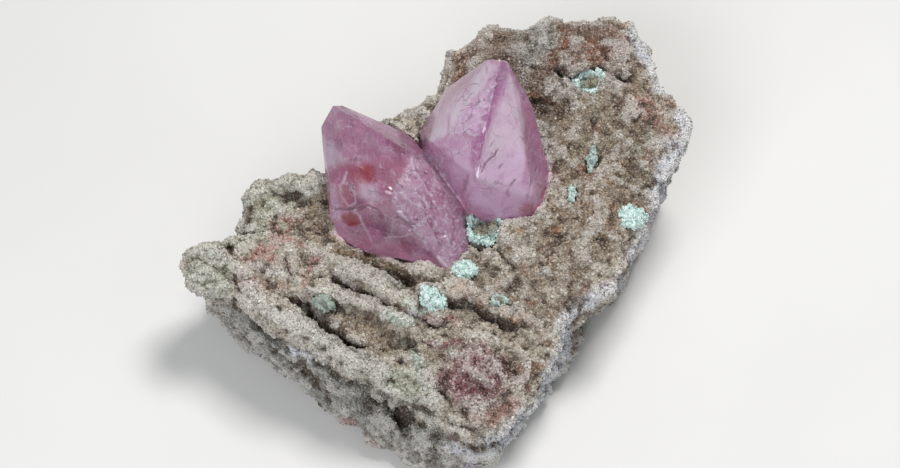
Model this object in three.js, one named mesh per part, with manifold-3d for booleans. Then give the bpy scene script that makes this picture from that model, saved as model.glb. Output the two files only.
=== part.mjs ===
// Cobaltoan calcite on matrix: two intergrown pink crystals and small green crusts on a loose rock.
// Millimetres, +Z up. The rock lies on its broken-flat back, so its crystal-bearing face looks up.
import * as THREE from 'three';
import { ConvexGeometry } from 'three/addons/geometries/ConvexGeometry.js';
import { ImprovedNoise } from 'three/addons/math/ImprovedNoise.js';
import { mergeVertices } from 'three/addons/utils/BufferGeometryUtils.js';
import Module from 'manifold-3d';

const wasm = await Module();
wasm.setup();

// The rock's face: its height over the middle, its rise toward the back, and how its rim rolls
// over between these two shares of the way out.
const FACE_HEIGHT = 20;
const FACE_SLOPE = 0.21;
const RIM_ROLL = 1.8;
const RIM_ROLL_START = 0.86;
const RIM_ROLL_END = 1.05;

// Lumps of the face and of the wall: size and height, and where in the noise or how flat they are.
const FACE_LUMPS = [
  { size: 9, height: 1.2, level: 3 },
  { size: 4.2, height: 0.9, level: 8 },
  { size: 2.3, height: 0.5, level: 14 },
];
const WALL_LUMPS = [
  { size: 8, height: 2, flatness: 1.6 },
  { size: 3.6, height: 1.3, flatness: 1.4 },
];

// The flat back, and the bevel where the wall turns under to meet it.
const FOOT_BEVEL = 2;

// How finely the rock is cut into triangles.
const FACE_CELLS = 46;
const WALL_ROWS = 7;

// Corners closer than this are one, and lines with less turn between them run alongside.
const SAME_PLACE = 1e-4;
const ALONGSIDE = 1e-9;

// Loose fit kept between the rock and what grows on it.
const SEAT_GAP = 0.3;

// The crystals lean back by this much; their corners are measured square to that lean, from the seat.
const CRYSTAL_LEAN = 35;
const CRYSTAL_SEAT = [4, 3.8, 21];

// Every outline direction is measured from this point of the rock.
const MIDDLE = new THREE.Vector2(2, 1);

const COLOURS = {
  rock: { color: 0xa59886, roughness: 0.9, metalness: 0 },
  crystal: { color: 0xd48fc0, roughness: 0.15, metalness: 0 },
  crust: { color: 0x9fcdbf, roughness: 0.7, metalness: 0 },
};

// Plan outline of the crystal-bearing face, from the left knob round by the back.
const RIM = [
  [-39.2, -5], [-38.8, -1.8], [-35.6, -0.2], [-32.6, -0.8], [-30.2, 0.2], [-30.4, 3.6], [-30, 7.6],
  [-27.4, 9.6], [-23, 10.4], [-18.4, 10.2], [-14.6, 13], [-11.4, 17.2], [-8.6, 20], [-3.4, 22.6],
  [0.6, 25.2], [1.4, 28], [1.2, 31.4], [5, 33], [9, 35.8], [13.8, 35.2], [18.2, 38], [22, 36.8],
  [27.5, 37.4], [31, 37], [33, 33.4], [34.8, 28.4], [36.6, 24.8], [39, 22.2], [39.8, 19.2],
  [38.8, 16.6], [36.8, 13.2], [35, 9], [33.2, 5], [31.6, 0.8], [30, -1.8], [28.2, -5],
  [27.4, -8.2], [24.2, -9.8], [20.9, -12.2], [18.9, -15], [18.3, -18.4], [16.7, -20.8],
  [15.2, -23.4], [14.6, -25.6], [12.2, -27.8], [10, -29.6], [7.8, -31.8], [5, -32.2],
  [2.4, -30.4], [0.4, -27], [-2.6, -24.4], [-6.4, -22.8], [-10, -22.4], [-13.4, -21.4],
  [-16.6, -18.8], [-20, -17.4], [-23, -16.4], [-26.8, -13.6], [-30.2, -9], [-32.2, -7.6],
  [-35.2, -9.2], [-38, -7.8],
];

// Plan outline of the wall's foot. The wall is undercut on the right and below the left knob.
const FOOT = [
  [-37, 1], [-35, -0.4], [-33.2, -2], [-32.2, -4], [-32.6, -5.4], [-30.4, -8], [-27.6, -10.2],
  [-24.6, -13], [-21.4, -16.2], [-18, -20.6], [-14.4, -23], [-11.8, -22.8], [-11, -24.2],
  [-11.6, -26], [-8.4, -28], [-6.4, -28.2], [-2.6, -31.4], [2, -32.6], [5.8, -31], [8.4, -29.6],
  [10.4, -27], [12, -24.4], [14.4, -21.6], [16, -20.6], [17.2, -17.2], [17.4, -15.2],
  [19, -13.4], [20.2, -10.6], [21.4, -7], [24.2, -3.2], [27.2, -0.4], [28.8, 2], [30, 5.6],
  [32.4, 10.4], [34.2, 14.4], [35.2, 19.4], [34.8, 25], [32, 30], [28, 33.4], [21, 33.6],
  [13, 32], [6, 29], [1, 24], [-5, 19], [-10, 14.4], [-16, 8.6], [-24, 7], [-28.4, 5.4],
  [-30, 3.2], [-34, 2.8],
];

// Ridges, ledges and grooves of the face. Each fades out over its own width to the left and to the
// right of its line, so a ledge is gentle on one side and steep on the other.
const STROKES = [
  { name: 'rim ridge', rise: 2, left: 3.6, right: 2.6,
    line: [[-33, -5.4], [-30, -7.6], [-26.4, -12.4], [-22.4, -15.2], [-16.3, -17], [-13, -19.8],
      [-6.3, -20.8], [-1.6, -22.6]] },
  { name: 'trough inside the rim ridge', rise: -3, left: 2.6, right: 2.2,
    line: [[-22.5, -9.6], [-20.5, -11.6], [-17.8, -14.4], [-13.2, -17.2], [-7.9, -18], [-5, -17.4]] },
  { name: 'upper ledge', rise: 2.4, left: 5, right: 1.9,
    line: [[-16.4, -5.2], [-11, -8.2], [-8, -9.6], [-4.9, -11], [-1.8, -12.4], [0.8, -13.6]] },
  { name: 'lower ledge', rise: 1.8, left: 3, right: 1.8,
    line: [[-20.6, -9.4], [-16.4, -10.2], [-11.8, -11.8], [-8.7, -13.2], [-5.6, -15]] },
  { name: 'groove between the ledges', rise: -1.8, left: 1.5, right: 1.5,
    line: [[-14.1, -8.7], [-9.5, -10.8], [-6.6, -12]] },
  { name: 'shaded band below the left crystal', rise: -1.6, left: 3, right: 2,
    line: [[-14, -3.6], [-10.3, -5], [-2.6, -8.1], [0.5, -8.9]] },
  { name: 'overhanging block', rise: 1.7, left: 6, right: 2.6,
    line: [[0.4, -10.3], [3.5, -10.2], [5.8, -11.3], [9.6, -14], [11.9, -14.5], [15.4, -16.4]] },
  { name: 'crack below the block', rise: -1.2, left: 2.2, right: 2.4,
    line: [[1.2, -12.6], [5, -13.4], [8.6, -16], [11.8, -17.2]] },
  { name: 'crease behind the knob', rise: -1.8, left: 1.8, right: 1.8,
    line: [[-31.8, -7.4], [-32, -4], [-32.6, -0.6]] },
  { name: 'left crack', rise: -1.1, left: 1.6, right: 1.6, line: [[-27, 6], [-21.3, 5.6], [-17.4, 6.6]] },
  { name: 'left hollow', rise: -1, left: 3.4, right: 3.4, line: [[-27, 2], [-22, 0.6], [-18.6, 2.2]] },
  { name: 'shelf near the tip', rise: 1.2, left: 3, right: 1.8, line: [[-2.5, -26], [1, -27.4], [5, -27.6]] },
  { name: 'upper right rib', rise: 1, left: 3, right: 3, line: [[14, 30], [20, 31.6], [29, 31]] },
  { name: 'right rib', rise: 1.1, left: 2.4, right: 4, line: [[31, 19], [27.6, 9.5], [24.4, 1], [21.4, -5]] },
  { name: 'right valley', rise: -1.2, left: 3, right: 3, line: [[24, 19], [21.6, 9], [18, 0], [14, -6]] },
];

// Round rises and pits of the face: plan place, radius, height.
const MOUNDS = [
  { name: 'knob', at: [-35.4, -4.6], radius: 4.6, rise: 2.2 },
  { name: 'knob lobe', at: [-36.4, -1.6], radius: 2.4, rise: 1 },
  { name: 'left lump', at: [-27.4, 7.7], radius: 2.4, rise: 1.7 },
  { name: 'left lump', at: [-24.2, 8.2], radius: 2, rise: 1.4 },
  { name: 'left lump', at: [-21, 8], radius: 2.2, rise: 1.6 },
  { name: 'left lump', at: [-17.8, 8.8], radius: 2, rise: 1.2 },
  { name: 'pink mound', at: [5.8, -21.6], radius: 6, rise: 2.4 },
  { name: 'low lump', at: [13, -23.6], radius: 2.2, rise: 1.5 },
  { name: 'low lump', at: [12, -26.4], radius: 2, rise: 1.2 },
  { name: 'block lump', at: [1.2, -8.9], radius: 1.8, rise: 0.9 },
  { name: 'block lump', at: [5, -9.4], radius: 1.8, rise: 0.9 },
  { name: 'hole', at: [-20.6, -11.4], radius: 1.9, rise: -2 },
  { name: 'top cavity', at: [24.4, 26.6], radius: 3.6, rise: -2.4 },
  { name: 'small cavity', at: [19.9, 27.4], radius: 1.8, rise: -1.2 },
  { name: 'small cavity', at: [26.4, 29.4], radius: 1.6, rise: -1 },
  { name: 'low pit', at: [11.1, -21.4], radius: 1.8, rise: -1.3 },
  { name: 'hollow by the crystals', at: [7.3, 2], radius: 3, rise: -1 },
  { name: 'top shoulder', at: [9, 31], radius: 7, rise: 1.4 },
];

// Broken wall: hollows where rock has come away, by compass angle, height, half-widths and depth.
const WALL_HOLLOWS = [
  { angle: -117, height: 8, wide: 7, tall: 4, depth: 3 },
  { angle: -104, height: 7, wide: 5, tall: 3.5, depth: 2.6 },
  { angle: -135, height: 6, wide: 6, tall: 4, depth: 2 },
];

// Corners of the right crystal, seen square to the lean: right, up and toward the eye, from the seat.
const RIGHT_CRYSTAL = {
  bluntTip: [[3.7, 23.3, 5], [5.6, 23.2, 6.2], [6.9, 23, 4.6], [4.6, 21.6, -1.6]],
  leftEdge: [[-2.5, 19.4, -4], [-6.9, 12.4, -5]],
  widest: [[-5.2, 11, 2], [2.1, 4.9, 7.6], [11, 2.2, 3], [13.4, 6.2, -3]],
  rightEdge: [[10.9, 16.4, -1.5]],
  foot: [[0.2, -0.4, -0.6], [5.7, -1.8, -0.4], [10.9, -1.6, -2], [13.2, 1.9, -4]],
  root: [[-5, 2.6, -7], [1.4, -4.6, -7], [8.6, -4.6, -8]],
  back: [[3, 15, -10.5], [-5, 8, -12.5], [11.6, 6, -12.5]],
};

// Corners of the left crystal, in the same frame.
const LEFT_CRYSTAL = {
  brokenEnd: [[-20.2, 16.5, -1], [-18.8, 16.6, -2.4], [-22, 13.2, 0], [-21.7, 9.8, 1]],
  upperEdge: [[-13.6, 14.1, -3.2], [-7.9, 11.9, -4.2]],
  crest: [[-17.8, 8.2, 6], [-7.5, 8.6, 2.6], [-10.7, 3, 9]],
  leftEdge: [[-20.3, 4, 5], [-20.5, -0.9, 3], [-18.8, -4.4, 1.5], [-15, -6.2, 1.5]],
  lowerTip: [[-2.5, -8.8, 3.6], [-0.4, -8.4, 2.2], [1.1, -6.8, 0.6]],
  rightEdge: [[0.3, 0, 1], [-3.9, 6.2, 0.5]],
  back: [[-18.4, 14.4, -8], [-10, 9.4, -9.5], [-1.4, -0.6, -9], [-15.6, -3.4, -6], [-3.6, -6.4, -7]],
};

// Green crusts: plan place, reach, thickness above the rock, middle dip, and turn.
const CRUSTS = [
  { name: 'crust_between_crystals', at: [7.4, 1.4], reach: [3.4, 3.2], rise: 1.5, dip: 1.3, turn: 15 },
  { name: 'crust_at_crystal_tip', at: [4.1, -6.7], reach: [1.9, 1.7], rise: 1.1, dip: 0, turn: 40 },
  { name: 'crust_on_ledge', at: [-0.5, -12], reach: [2.1, 1.5], rise: 0.9, dip: 0, turn: -20 },
  { name: 'crust_in_top_cavity', at: [24.4, 26.6], reach: [2.9, 2.7], rise: 1.1, dip: 1.1, turn: 30 },
  { name: 'crust_by_right_edge', at: [30.2, 2.9], reach: [2.1, 1.9], rise: 0.9, dip: 0, turn: 10 },
  { name: 'crust_streak_upper', at: [24.2, 13], reach: [1.3, 2.4], rise: 0.6, dip: 0, turn: -12 },
  { name: 'crust_streak_lower', at: [21, 7.2], reach: [1.1, 2.1], rise: 0.6, dip: 0, turn: -18 },
  { name: 'crust_below_block', at: [9.4, -11.4], reach: [1.5, 1], rise: 0.7, dip: 0, turn: 15 },
  { name: 'crust_in_left_trough', at: [-17.1, -11.2], reach: [1.9, 1.3], rise: 1, dip: 0, turn: -15 },
];
const CRUST_SIDES = 12;
const CRUST_DEPTH = 0.7;

// A crust's edge wanders in and out by this share of its reach, in lumps of this size.
const CRUST_RAGGED = { share: 0.42, size: 2.1, step: 3, level: 5 };

// The height that a crust's pocket is cut to, past its top, and the part of its reach that sets
// its tilt.
const POCKET_CLEAR = 4;
const TILT_REACH = 0.6;

const noise = new ImprovedNoise();

/** Smooth lumps of one size, from -1 to 1. */
function lumps(x, y, z, size) {
  return noise.noise(x / size, y / size, z / size);
}

/** Distance from the middle to an outline, in one direction. */
function reachTo(outline, angle) {
  const way = new THREE.Vector2(Math.cos(angle), Math.sin(angle));
  let far = 0;
  outline.forEach((corner, i) => {
    const start = new THREE.Vector2(...corner).sub(MIDDLE);
    const side = new THREE.Vector2(...outline[(i + 1) % outline.length]).sub(MIDDLE).sub(start);
    const turn = way.cross(side);
    if (Math.abs(turn) < ALONGSIDE) return;
    const share = start.cross(way) / turn;
    if (share >= 0 && share <= 1) far = Math.max(far, start.cross(side) / turn);
  });
  return far;
}

/** How much a stroke lifts the face at a place: all of its rise on its line, none past its width. */
function strokeLift(stroke, x, y) {
  let nearest = Infinity;
  let lift = 0;
  for (let i = 1; i < stroke.line.length; i += 1) {
    const start = new THREE.Vector2(...stroke.line[i - 1]);
    const run = new THREE.Vector2(...stroke.line[i]).sub(start);
    const offset = new THREE.Vector2(x, y).sub(start);
    const share = THREE.MathUtils.clamp(offset.dot(run) / run.lengthSq(), 0, 1);
    const distance = offset.distanceTo(run.clone().multiplyScalar(share));
    if (distance < nearest) {
      nearest = distance;
      const width = run.cross(offset) > 0 ? stroke.left : stroke.right;
      lift = stroke.rise * (1 - THREE.MathUtils.smoothstep(distance, 0, width));
    }
  }
  return lift;
}

/** Height of the crystal-bearing face at a place of the plan. */
function faceHeight(x, y) {
  const strokes = STROKES.reduce((sum, stroke) => sum + strokeLift(stroke, x, y), 0);
  const mounds = MOUNDS.reduce((sum, { at, radius, rise }) => {
    const distance = Math.hypot(x - at[0], y - at[1]);
    return sum + rise * (1 - THREE.MathUtils.smoothstep(distance, 0, radius));
  }, 0);
  const rough = FACE_LUMPS.reduce(
    (sum, { size, height, level }) => sum + height * lumps(x, y, level, size),
    0,
  );
  return FACE_HEIGHT + FACE_SLOPE * y + strokes + mounds + rough;
}

/** How far the broken wall stands out (or in) from its plain slope. */
function wallBulge(x, y, z) {
  const angle = THREE.MathUtils.radToDeg(Math.atan2(y - MIDDLE.y, x - MIDDLE.x));
  const hollows = WALL_HOLLOWS.reduce((sum, hollow) => {
    const across = (angle - hollow.angle) / hollow.wide;
    const up = (z - hollow.height) / hollow.tall;
    return sum - hollow.depth * Math.max(0, 1 - across * across - up * up);
  }, 0);
  return WALL_LUMPS.reduce(
    (sum, { size, height, flatness }) => sum + height * lumps(x, y, z * flatness, size),
    hollows,
  );
}

/** Turns a place in a square grid, -1 to 1 both ways, into a share of the reach and a direction. */
function discPlace(a, b) {
  if (a === 0 && b === 0) return { share: 0, angle: 0 };
  const sideways = Math.abs(a) > Math.abs(b);
  const radius = sideways ? a : b;
  const angle = sideways ? (Math.PI / 4) * (b / a) : Math.PI / 2 - (Math.PI / 4) * (a / b);
  return { share: Math.abs(radius), angle: radius < 0 ? angle + Math.PI : angle };
}

/** The whole rock as one closed geometry: face, wall and flat back. */
function rockGeometry() {
  const points = [];
  const triangles = [];
  const angles = [];
  const side = FACE_CELLS + 1;
  const quad = (a, b, c, d) => triangles.push(a, b, c, a, c, d);

  for (let row = 0; row < side; row += 1) {
    for (let column = 0; column < side; column += 1) {
      const { share, angle } = discPlace((2 * column) / FACE_CELLS - 1, (2 * row) / FACE_CELLS - 1);
      const reach = share * reachTo(RIM, angle);
      const x = MIDDLE.x + reach * Math.cos(angle);
      const y = MIDDLE.y + reach * Math.sin(angle);
      const roll = RIM_ROLL * THREE.MathUtils.smoothstep(share, RIM_ROLL_START, RIM_ROLL_END);
      points.push(new THREE.Vector3(x, y, faceHeight(x, y) - roll));
      angles.push(angle);
      if (row > 0 && column > 0) {
        const corner = row * side + column;
        quad(corner - side - 1, corner - side, corner, corner - 1);
      }
    }
  }

  // The rim's vertices, counter-clockwise from above.
  let ring = [];
  for (let k = 0; k < FACE_CELLS; k += 1) ring.push(k);
  for (let k = 0; k < FACE_CELLS; k += 1) ring.push(k * side + FACE_CELLS);
  for (let k = 0; k < FACE_CELLS; k += 1) ring.push(side * side - 1 - k);
  for (let k = 0; k < FACE_CELLS; k += 1) ring.push((FACE_CELLS - k) * side);

  const rim = ring.map((index) => ({ top: points[index], angle: angles[index] }));
  const addRing = (place) => {
    const next = rim.map((station) => points.push(place(station)) - 1);
    next.forEach((below, k) => {
      const after = (k + 1) % next.length;
      quad(ring[k], below, next[after], ring[after]);
    });
    ring = next;
  };
  const foot = (angle, inset) => {
    const reach = reachTo(FOOT, angle) - inset;
    return new THREE.Vector3(MIDDLE.x + reach * Math.cos(angle), MIDDLE.y + reach * Math.sin(angle), 0);
  };
  for (let row = 1; row <= WALL_ROWS; row += 1) {
    addRing(({ top, angle }) => {
      const share = row / WALL_ROWS;
      const bottom = foot(angle, 0).setZ(FOOT_BEVEL);
      const place = top.clone().lerp(bottom, share);
      const bulge = wallBulge(place.x, place.y, place.z) * Math.min(1, 2 * share);
      return place.add(new THREE.Vector3(Math.cos(angle), Math.sin(angle), 0).multiplyScalar(bulge));
    });
  }
  addRing(({ angle }) => foot(angle, FOOT_BEVEL));

  const centre = points.push(new THREE.Vector3(MIDDLE.x, MIDDLE.y, 0)) - 1;
  ring.forEach((index, k) => triangles.push(index, centre, ring[(k + 1) % ring.length]));

  const geometry = new THREE.BufferGeometry().setFromPoints(points);
  geometry.setIndex(triangles);
  return geometry;
}

/** All corners of a crystal, each spread to the corners of a small cube when it is made loose. */
function crystalCorners(crystal, looseness) {
  const corners = Object.values(crystal).flat().map((corner) => new THREE.Vector3(...corner));
  if (looseness === 0) return corners;
  const ways = [-looseness, looseness];
  return corners.flatMap((corner) => ways.flatMap((x) => ways.flatMap((y) => ways.map(
    (z) => corner.clone().add(new THREE.Vector3(x, y, z)),
  ))));
}

/** The two crystals grown together, as one solid in the seat's frame. */
function crystalSolid(looseness) {
  const [right, left] = [RIGHT_CRYSTAL, LEFT_CRYSTAL].map(
    (crystal) => solidFrom(new ConvexGeometry(crystalCorners(crystal, looseness))),
  );
  return right.add(left);
}

/** A low ragged crust, its mid-plane on the rock, made larger and deeper by the looseness. */
function crustGeometry({ at, reach, rise, dip }, looseness) {
  const points = [];
  const triangles = [];
  const ragged = (k) => {
    const { share, size, step, level } = CRUST_RAGGED;
    return 1 + share * lumps(at[0] + step * k, at[1], level, size);
  };
  const rings = [
    { out: 0.8, height: -CRUST_DEPTH },
    { out: 1, height: -0.1 },
    { out: 0.94, height: 0.5 * rise },
    { out: 0.66, height: rise },
    { out: 0.34, height: rise - dip },
  ];
  const pocket = rings.slice(0, 3).concat({ out: 0.94, height: rise + POCKET_CLEAR });
  const grown = looseness > 0 ? pocket : rings;
  grown.forEach(({ out, height }) => {
    for (let k = 0; k < CRUST_SIDES; k += 1) {
      const angle = (2 * Math.PI * k) / CRUST_SIDES;
      points.push(new THREE.Vector3(
        (reach[0] * ragged(k) * out + looseness) * Math.cos(angle),
        (reach[1] * ragged(k) * out + looseness) * Math.sin(angle),
        height < 0 ? height - looseness : height,
      ));
    }
  });
  const bottom = points.push(new THREE.Vector3(0, 0, points[0].z)) - 1;
  const top = points.push(new THREE.Vector3(0, 0, grown.at(-1).height)) - 1;
  const lastRing = (grown.length - 1) * CRUST_SIDES;
  for (let k = 0; k < CRUST_SIDES; k += 1) {
    const after = (k + 1) % CRUST_SIDES;
    triangles.push(bottom, after, k, top, lastRing + k, lastRing + after);
    for (let base = 0; base < lastRing; base += CRUST_SIDES) {
      triangles.push(base + k, base + after, base + CRUST_SIDES + after);
      triangles.push(base + k, base + CRUST_SIDES + after, base + CRUST_SIDES + k);
    }
  }
  const geometry = new THREE.BufferGeometry().setFromPoints(points);
  geometry.setIndex(triangles);
  return geometry;
}

/** A closed geometry as a solid that can be joined and cut, moved by a matrix if one is given. */
function solidFrom(geometry, matrix = new THREE.Matrix4()) {
  const bare = geometry.clone().deleteAttribute('normal').deleteAttribute('uv').applyMatrix4(matrix);
  const merged = mergeVertices(bare, SAME_PLACE);
  return new wasm.Manifold(new wasm.Mesh({
    numProp: 3,
    vertProperties: Float32Array.from(merged.getAttribute('position').array),
    triVerts: Uint32Array.from(merged.getIndex().array),
  }));
}

/** A solid's surface as a geometry with a normal for each flat facet. */
function geometryFrom(solid) {
  const { vertProperties, triVerts } = solid.getMesh();
  const geometry = new THREE.BufferGeometry();
  geometry.setAttribute('position', new THREE.BufferAttribute(vertProperties, 3));
  geometry.setIndex(new THREE.BufferAttribute(triVerts, 1));
  geometry.computeVertexNormals();
  return geometry;
}

/** A mesh with its name and its finish. */
function namedMesh(name, geometry, finish) {
  const mesh = new THREE.Mesh(geometry, new THREE.MeshStandardMaterial(finish));
  mesh.name = name;
  return mesh;
}

/** The frame that both crystals are measured in. */
function crystalSeat() {
  const seat = new THREE.Group();
  seat.position.set(...CRYSTAL_SEAT);
  seat.rotation.x = THREE.MathUtils.degToRad(CRYSTAL_LEAN);
  seat.updateMatrix();
  return seat;
}

/** A crust lying on the face, tilted with it, and stopped by the crystals where it meets them. */
function crustMesh(crust, seat) {
  const mesh = namedMesh(crust.name, new THREE.BufferGeometry(), COLOURS.crust);
  const [x, y] = crust.at;
  const reach = TILT_REACH * Math.min(...crust.reach);
  const across = (faceHeight(x + reach, y) - faceHeight(x - reach, y)) / (2 * reach);
  const along = (faceHeight(x, y + reach) - faceHeight(x, y - reach)) / (2 * reach);
  const upright = new THREE.Vector3(0, 0, 1);
  mesh.position.set(x, y, faceHeight(x, y));
  mesh.quaternion.setFromUnitVectors(upright, new THREE.Vector3(-across, -along, 1).normalize());
  mesh.rotateZ(THREE.MathUtils.degToRad(crust.turn));
  mesh.updateMatrix();
  const seatFromCrust = mesh.matrix.clone().invert().multiply(seat.matrix);
  const looseCrystals = solidFrom(geometryFrom(crystalSolid(SEAT_GAP)), seatFromCrust);
  mesh.geometry = geometryFrom(solidFrom(crustGeometry(crust, 0)).subtract(looseCrystals));
  return mesh;
}

const specimen = new THREE.Group();
const seat = crystalSeat();
seat.add(namedMesh('calcite_crystals', geometryFrom(crystalSolid(0)), COLOURS.crystal));
const crusts = CRUSTS.map((crust) => crustMesh(crust, seat));

const crystalPocket = solidFrom(geometryFrom(crystalSolid(SEAT_GAP)), seat.matrix);
const crustPockets = CRUSTS.map((crust, k) => solidFrom(crustGeometry(crust, SEAT_GAP), crusts[k].matrix));
const rock = crustPockets.reduce(
  (solid, pocket) => solid.subtract(pocket),
  solidFrom(rockGeometry()).subtract(crystalPocket),
);

specimen.add(namedMesh('matrix_rock', geometryFrom(rock), COLOURS.rock), seat, ...crusts);

export default specimen;
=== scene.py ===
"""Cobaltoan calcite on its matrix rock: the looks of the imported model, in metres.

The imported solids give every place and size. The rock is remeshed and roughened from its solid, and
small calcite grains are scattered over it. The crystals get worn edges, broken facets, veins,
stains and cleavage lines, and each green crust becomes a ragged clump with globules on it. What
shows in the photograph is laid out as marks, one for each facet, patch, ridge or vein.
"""

from __future__ import annotations

import logging
import math
from dataclasses import dataclass
from enum import Enum

import bpy
import numpy as np
from mathutils import Euler, Matrix, Vector, noise
from mathutils.bvhtree import BVHTree

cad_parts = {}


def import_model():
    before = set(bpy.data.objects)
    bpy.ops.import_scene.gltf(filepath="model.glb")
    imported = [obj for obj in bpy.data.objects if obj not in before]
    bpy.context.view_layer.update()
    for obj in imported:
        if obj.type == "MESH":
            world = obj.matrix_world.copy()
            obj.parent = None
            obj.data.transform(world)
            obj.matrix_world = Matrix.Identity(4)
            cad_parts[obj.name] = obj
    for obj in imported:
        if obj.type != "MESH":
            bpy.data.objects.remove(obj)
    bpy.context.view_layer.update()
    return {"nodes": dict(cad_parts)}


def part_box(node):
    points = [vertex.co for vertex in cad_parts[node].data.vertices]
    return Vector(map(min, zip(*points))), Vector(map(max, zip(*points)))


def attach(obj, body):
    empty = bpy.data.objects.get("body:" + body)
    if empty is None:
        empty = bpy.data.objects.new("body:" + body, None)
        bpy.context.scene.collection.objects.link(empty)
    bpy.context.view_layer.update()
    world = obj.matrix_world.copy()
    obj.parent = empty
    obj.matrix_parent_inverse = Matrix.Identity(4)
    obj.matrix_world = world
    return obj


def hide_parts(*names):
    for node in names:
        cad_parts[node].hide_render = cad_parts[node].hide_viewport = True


LOG = logging.getLogger("calcite")
MM = 0.001

Colour = tuple[float, float, float]
Place = tuple[float, float, float]
Outline = tuple[tuple[float, float], ...]

# The photograph was taken from this place, square to the crystals' lean, and all marks are laid out
# as seen from there, in millimetres to the right of the crystals' seat and up the lean.
LEAN_DEG = 35.0
SEAT_MM = (4.0, 3.8, 21.0)
AIM_MM = (2.0, 1.0, 19.0)
SIGHT_MM = 465.0

# The drusy face of the rock, in millimetres: its height over the middle and its rise to the back.
FACE_HEIGHT = 20.0
FACE_SLOPE = 0.21

# How lines and edges wander: turns in a millimetre, and reach in millimetres. Without a seed of its
# own the noise starts from the clock, and no two runs give the same lines.
WANDER_SEED = 7
BROAD_WANDER = (0.45, 0.7)
FINE_WANDER = (1.4, 0.35)
FACET_WANDER = (0.8, 0.3)

# A surface that faces the eye by less than this is hidden, and its place is put far off the marks.
HIDDEN_FACING = -0.2
OFF_THE_MARKS = 1000.0

# The colour sockets of a Mix node.
MIX_FIRST, MIX_SECOND, MIX_RESULT = 6, 7, 2


class Slot(Enum):
    """Material slots."""

    MATRIX = "matrix"
    CALCITE = "calcite"
    CRUST = "crust"


class Tint(Enum):
    """Linear colours of the rock, of the stains on it, and of the painted shade in its grooves and
    pits.
    """

    CREAM = (0.50, 0.455, 0.375)
    GREEN_CREAM = (0.45, 0.48, 0.385)
    WHITE = (0.64, 0.63, 0.60)
    BEIGE = (0.26, 0.21, 0.155)
    TAN = (0.29, 0.215, 0.140)
    # Dark brown, also painted as shade in troughs, grooves and under the left crystal.
    BROWN = (0.105, 0.068, 0.047)
    SHADE = (0.080, 0.052, 0.036)
    # Near black, painted as shade in holes, cracks and a cave under an overhang.
    PIT = (0.022, 0.016, 0.012)
    OLIVE = (0.19, 0.17, 0.11)
    GREY = (0.27, 0.27, 0.255)
    # Dark grey-green, also painted as shade under ledges and in creases.
    SLATE = (0.12, 0.125, 0.11)
    RUST = (0.22, 0.085, 0.045)
    ORANGE = (0.40, 0.18, 0.065)
    ROSE = (0.42, 0.19, 0.17)
    CRIMSON = (0.36, 0.11, 0.10)
    MAROON = (0.13, 0.045, 0.050)
    WINE = (0.21, 0.072, 0.088)
    PALE_BLUE = (0.70, 0.73, 0.80)
    LAVENDER = (0.42, 0.40, 0.50)
    MOSS = (0.34, 0.44, 0.38)
    MINT = (0.55, 0.66, 0.57)
    DUSKY = (0.185, 0.115, 0.085)
    UMBER = (0.26, 0.180, 0.120)


@dataclass(frozen=True)
class Mark:
    """The shade and the relief of one facet, patch, ridge, vein or spot.

    Its corners are places as seen from where the photograph was taken, to the right of the
    crystals' seat and up, in millimetres. A closed mark fills its outline, and an open one is a
    line. Soft is the width that it fades over, relief is how far it stands proud, in millimetres,
    and rough is how broken its surface is.
    """

    tint: Enum
    corners: Outline
    soft: float = 0.6
    strength: float = 0.9
    closed: bool = True
    relief: float = 0.0
    rough: float = 0.0


def vein(
    tint: Enum, *corners: tuple[float, float], wide: float = 0.22, strength: float = 0.7,
    relief: float = 0.0,
) -> Mark:
    """A mark that is a line, with its half width."""
    return Mark(tint, corners, wide, strength, closed=False, relief=relief)


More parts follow.
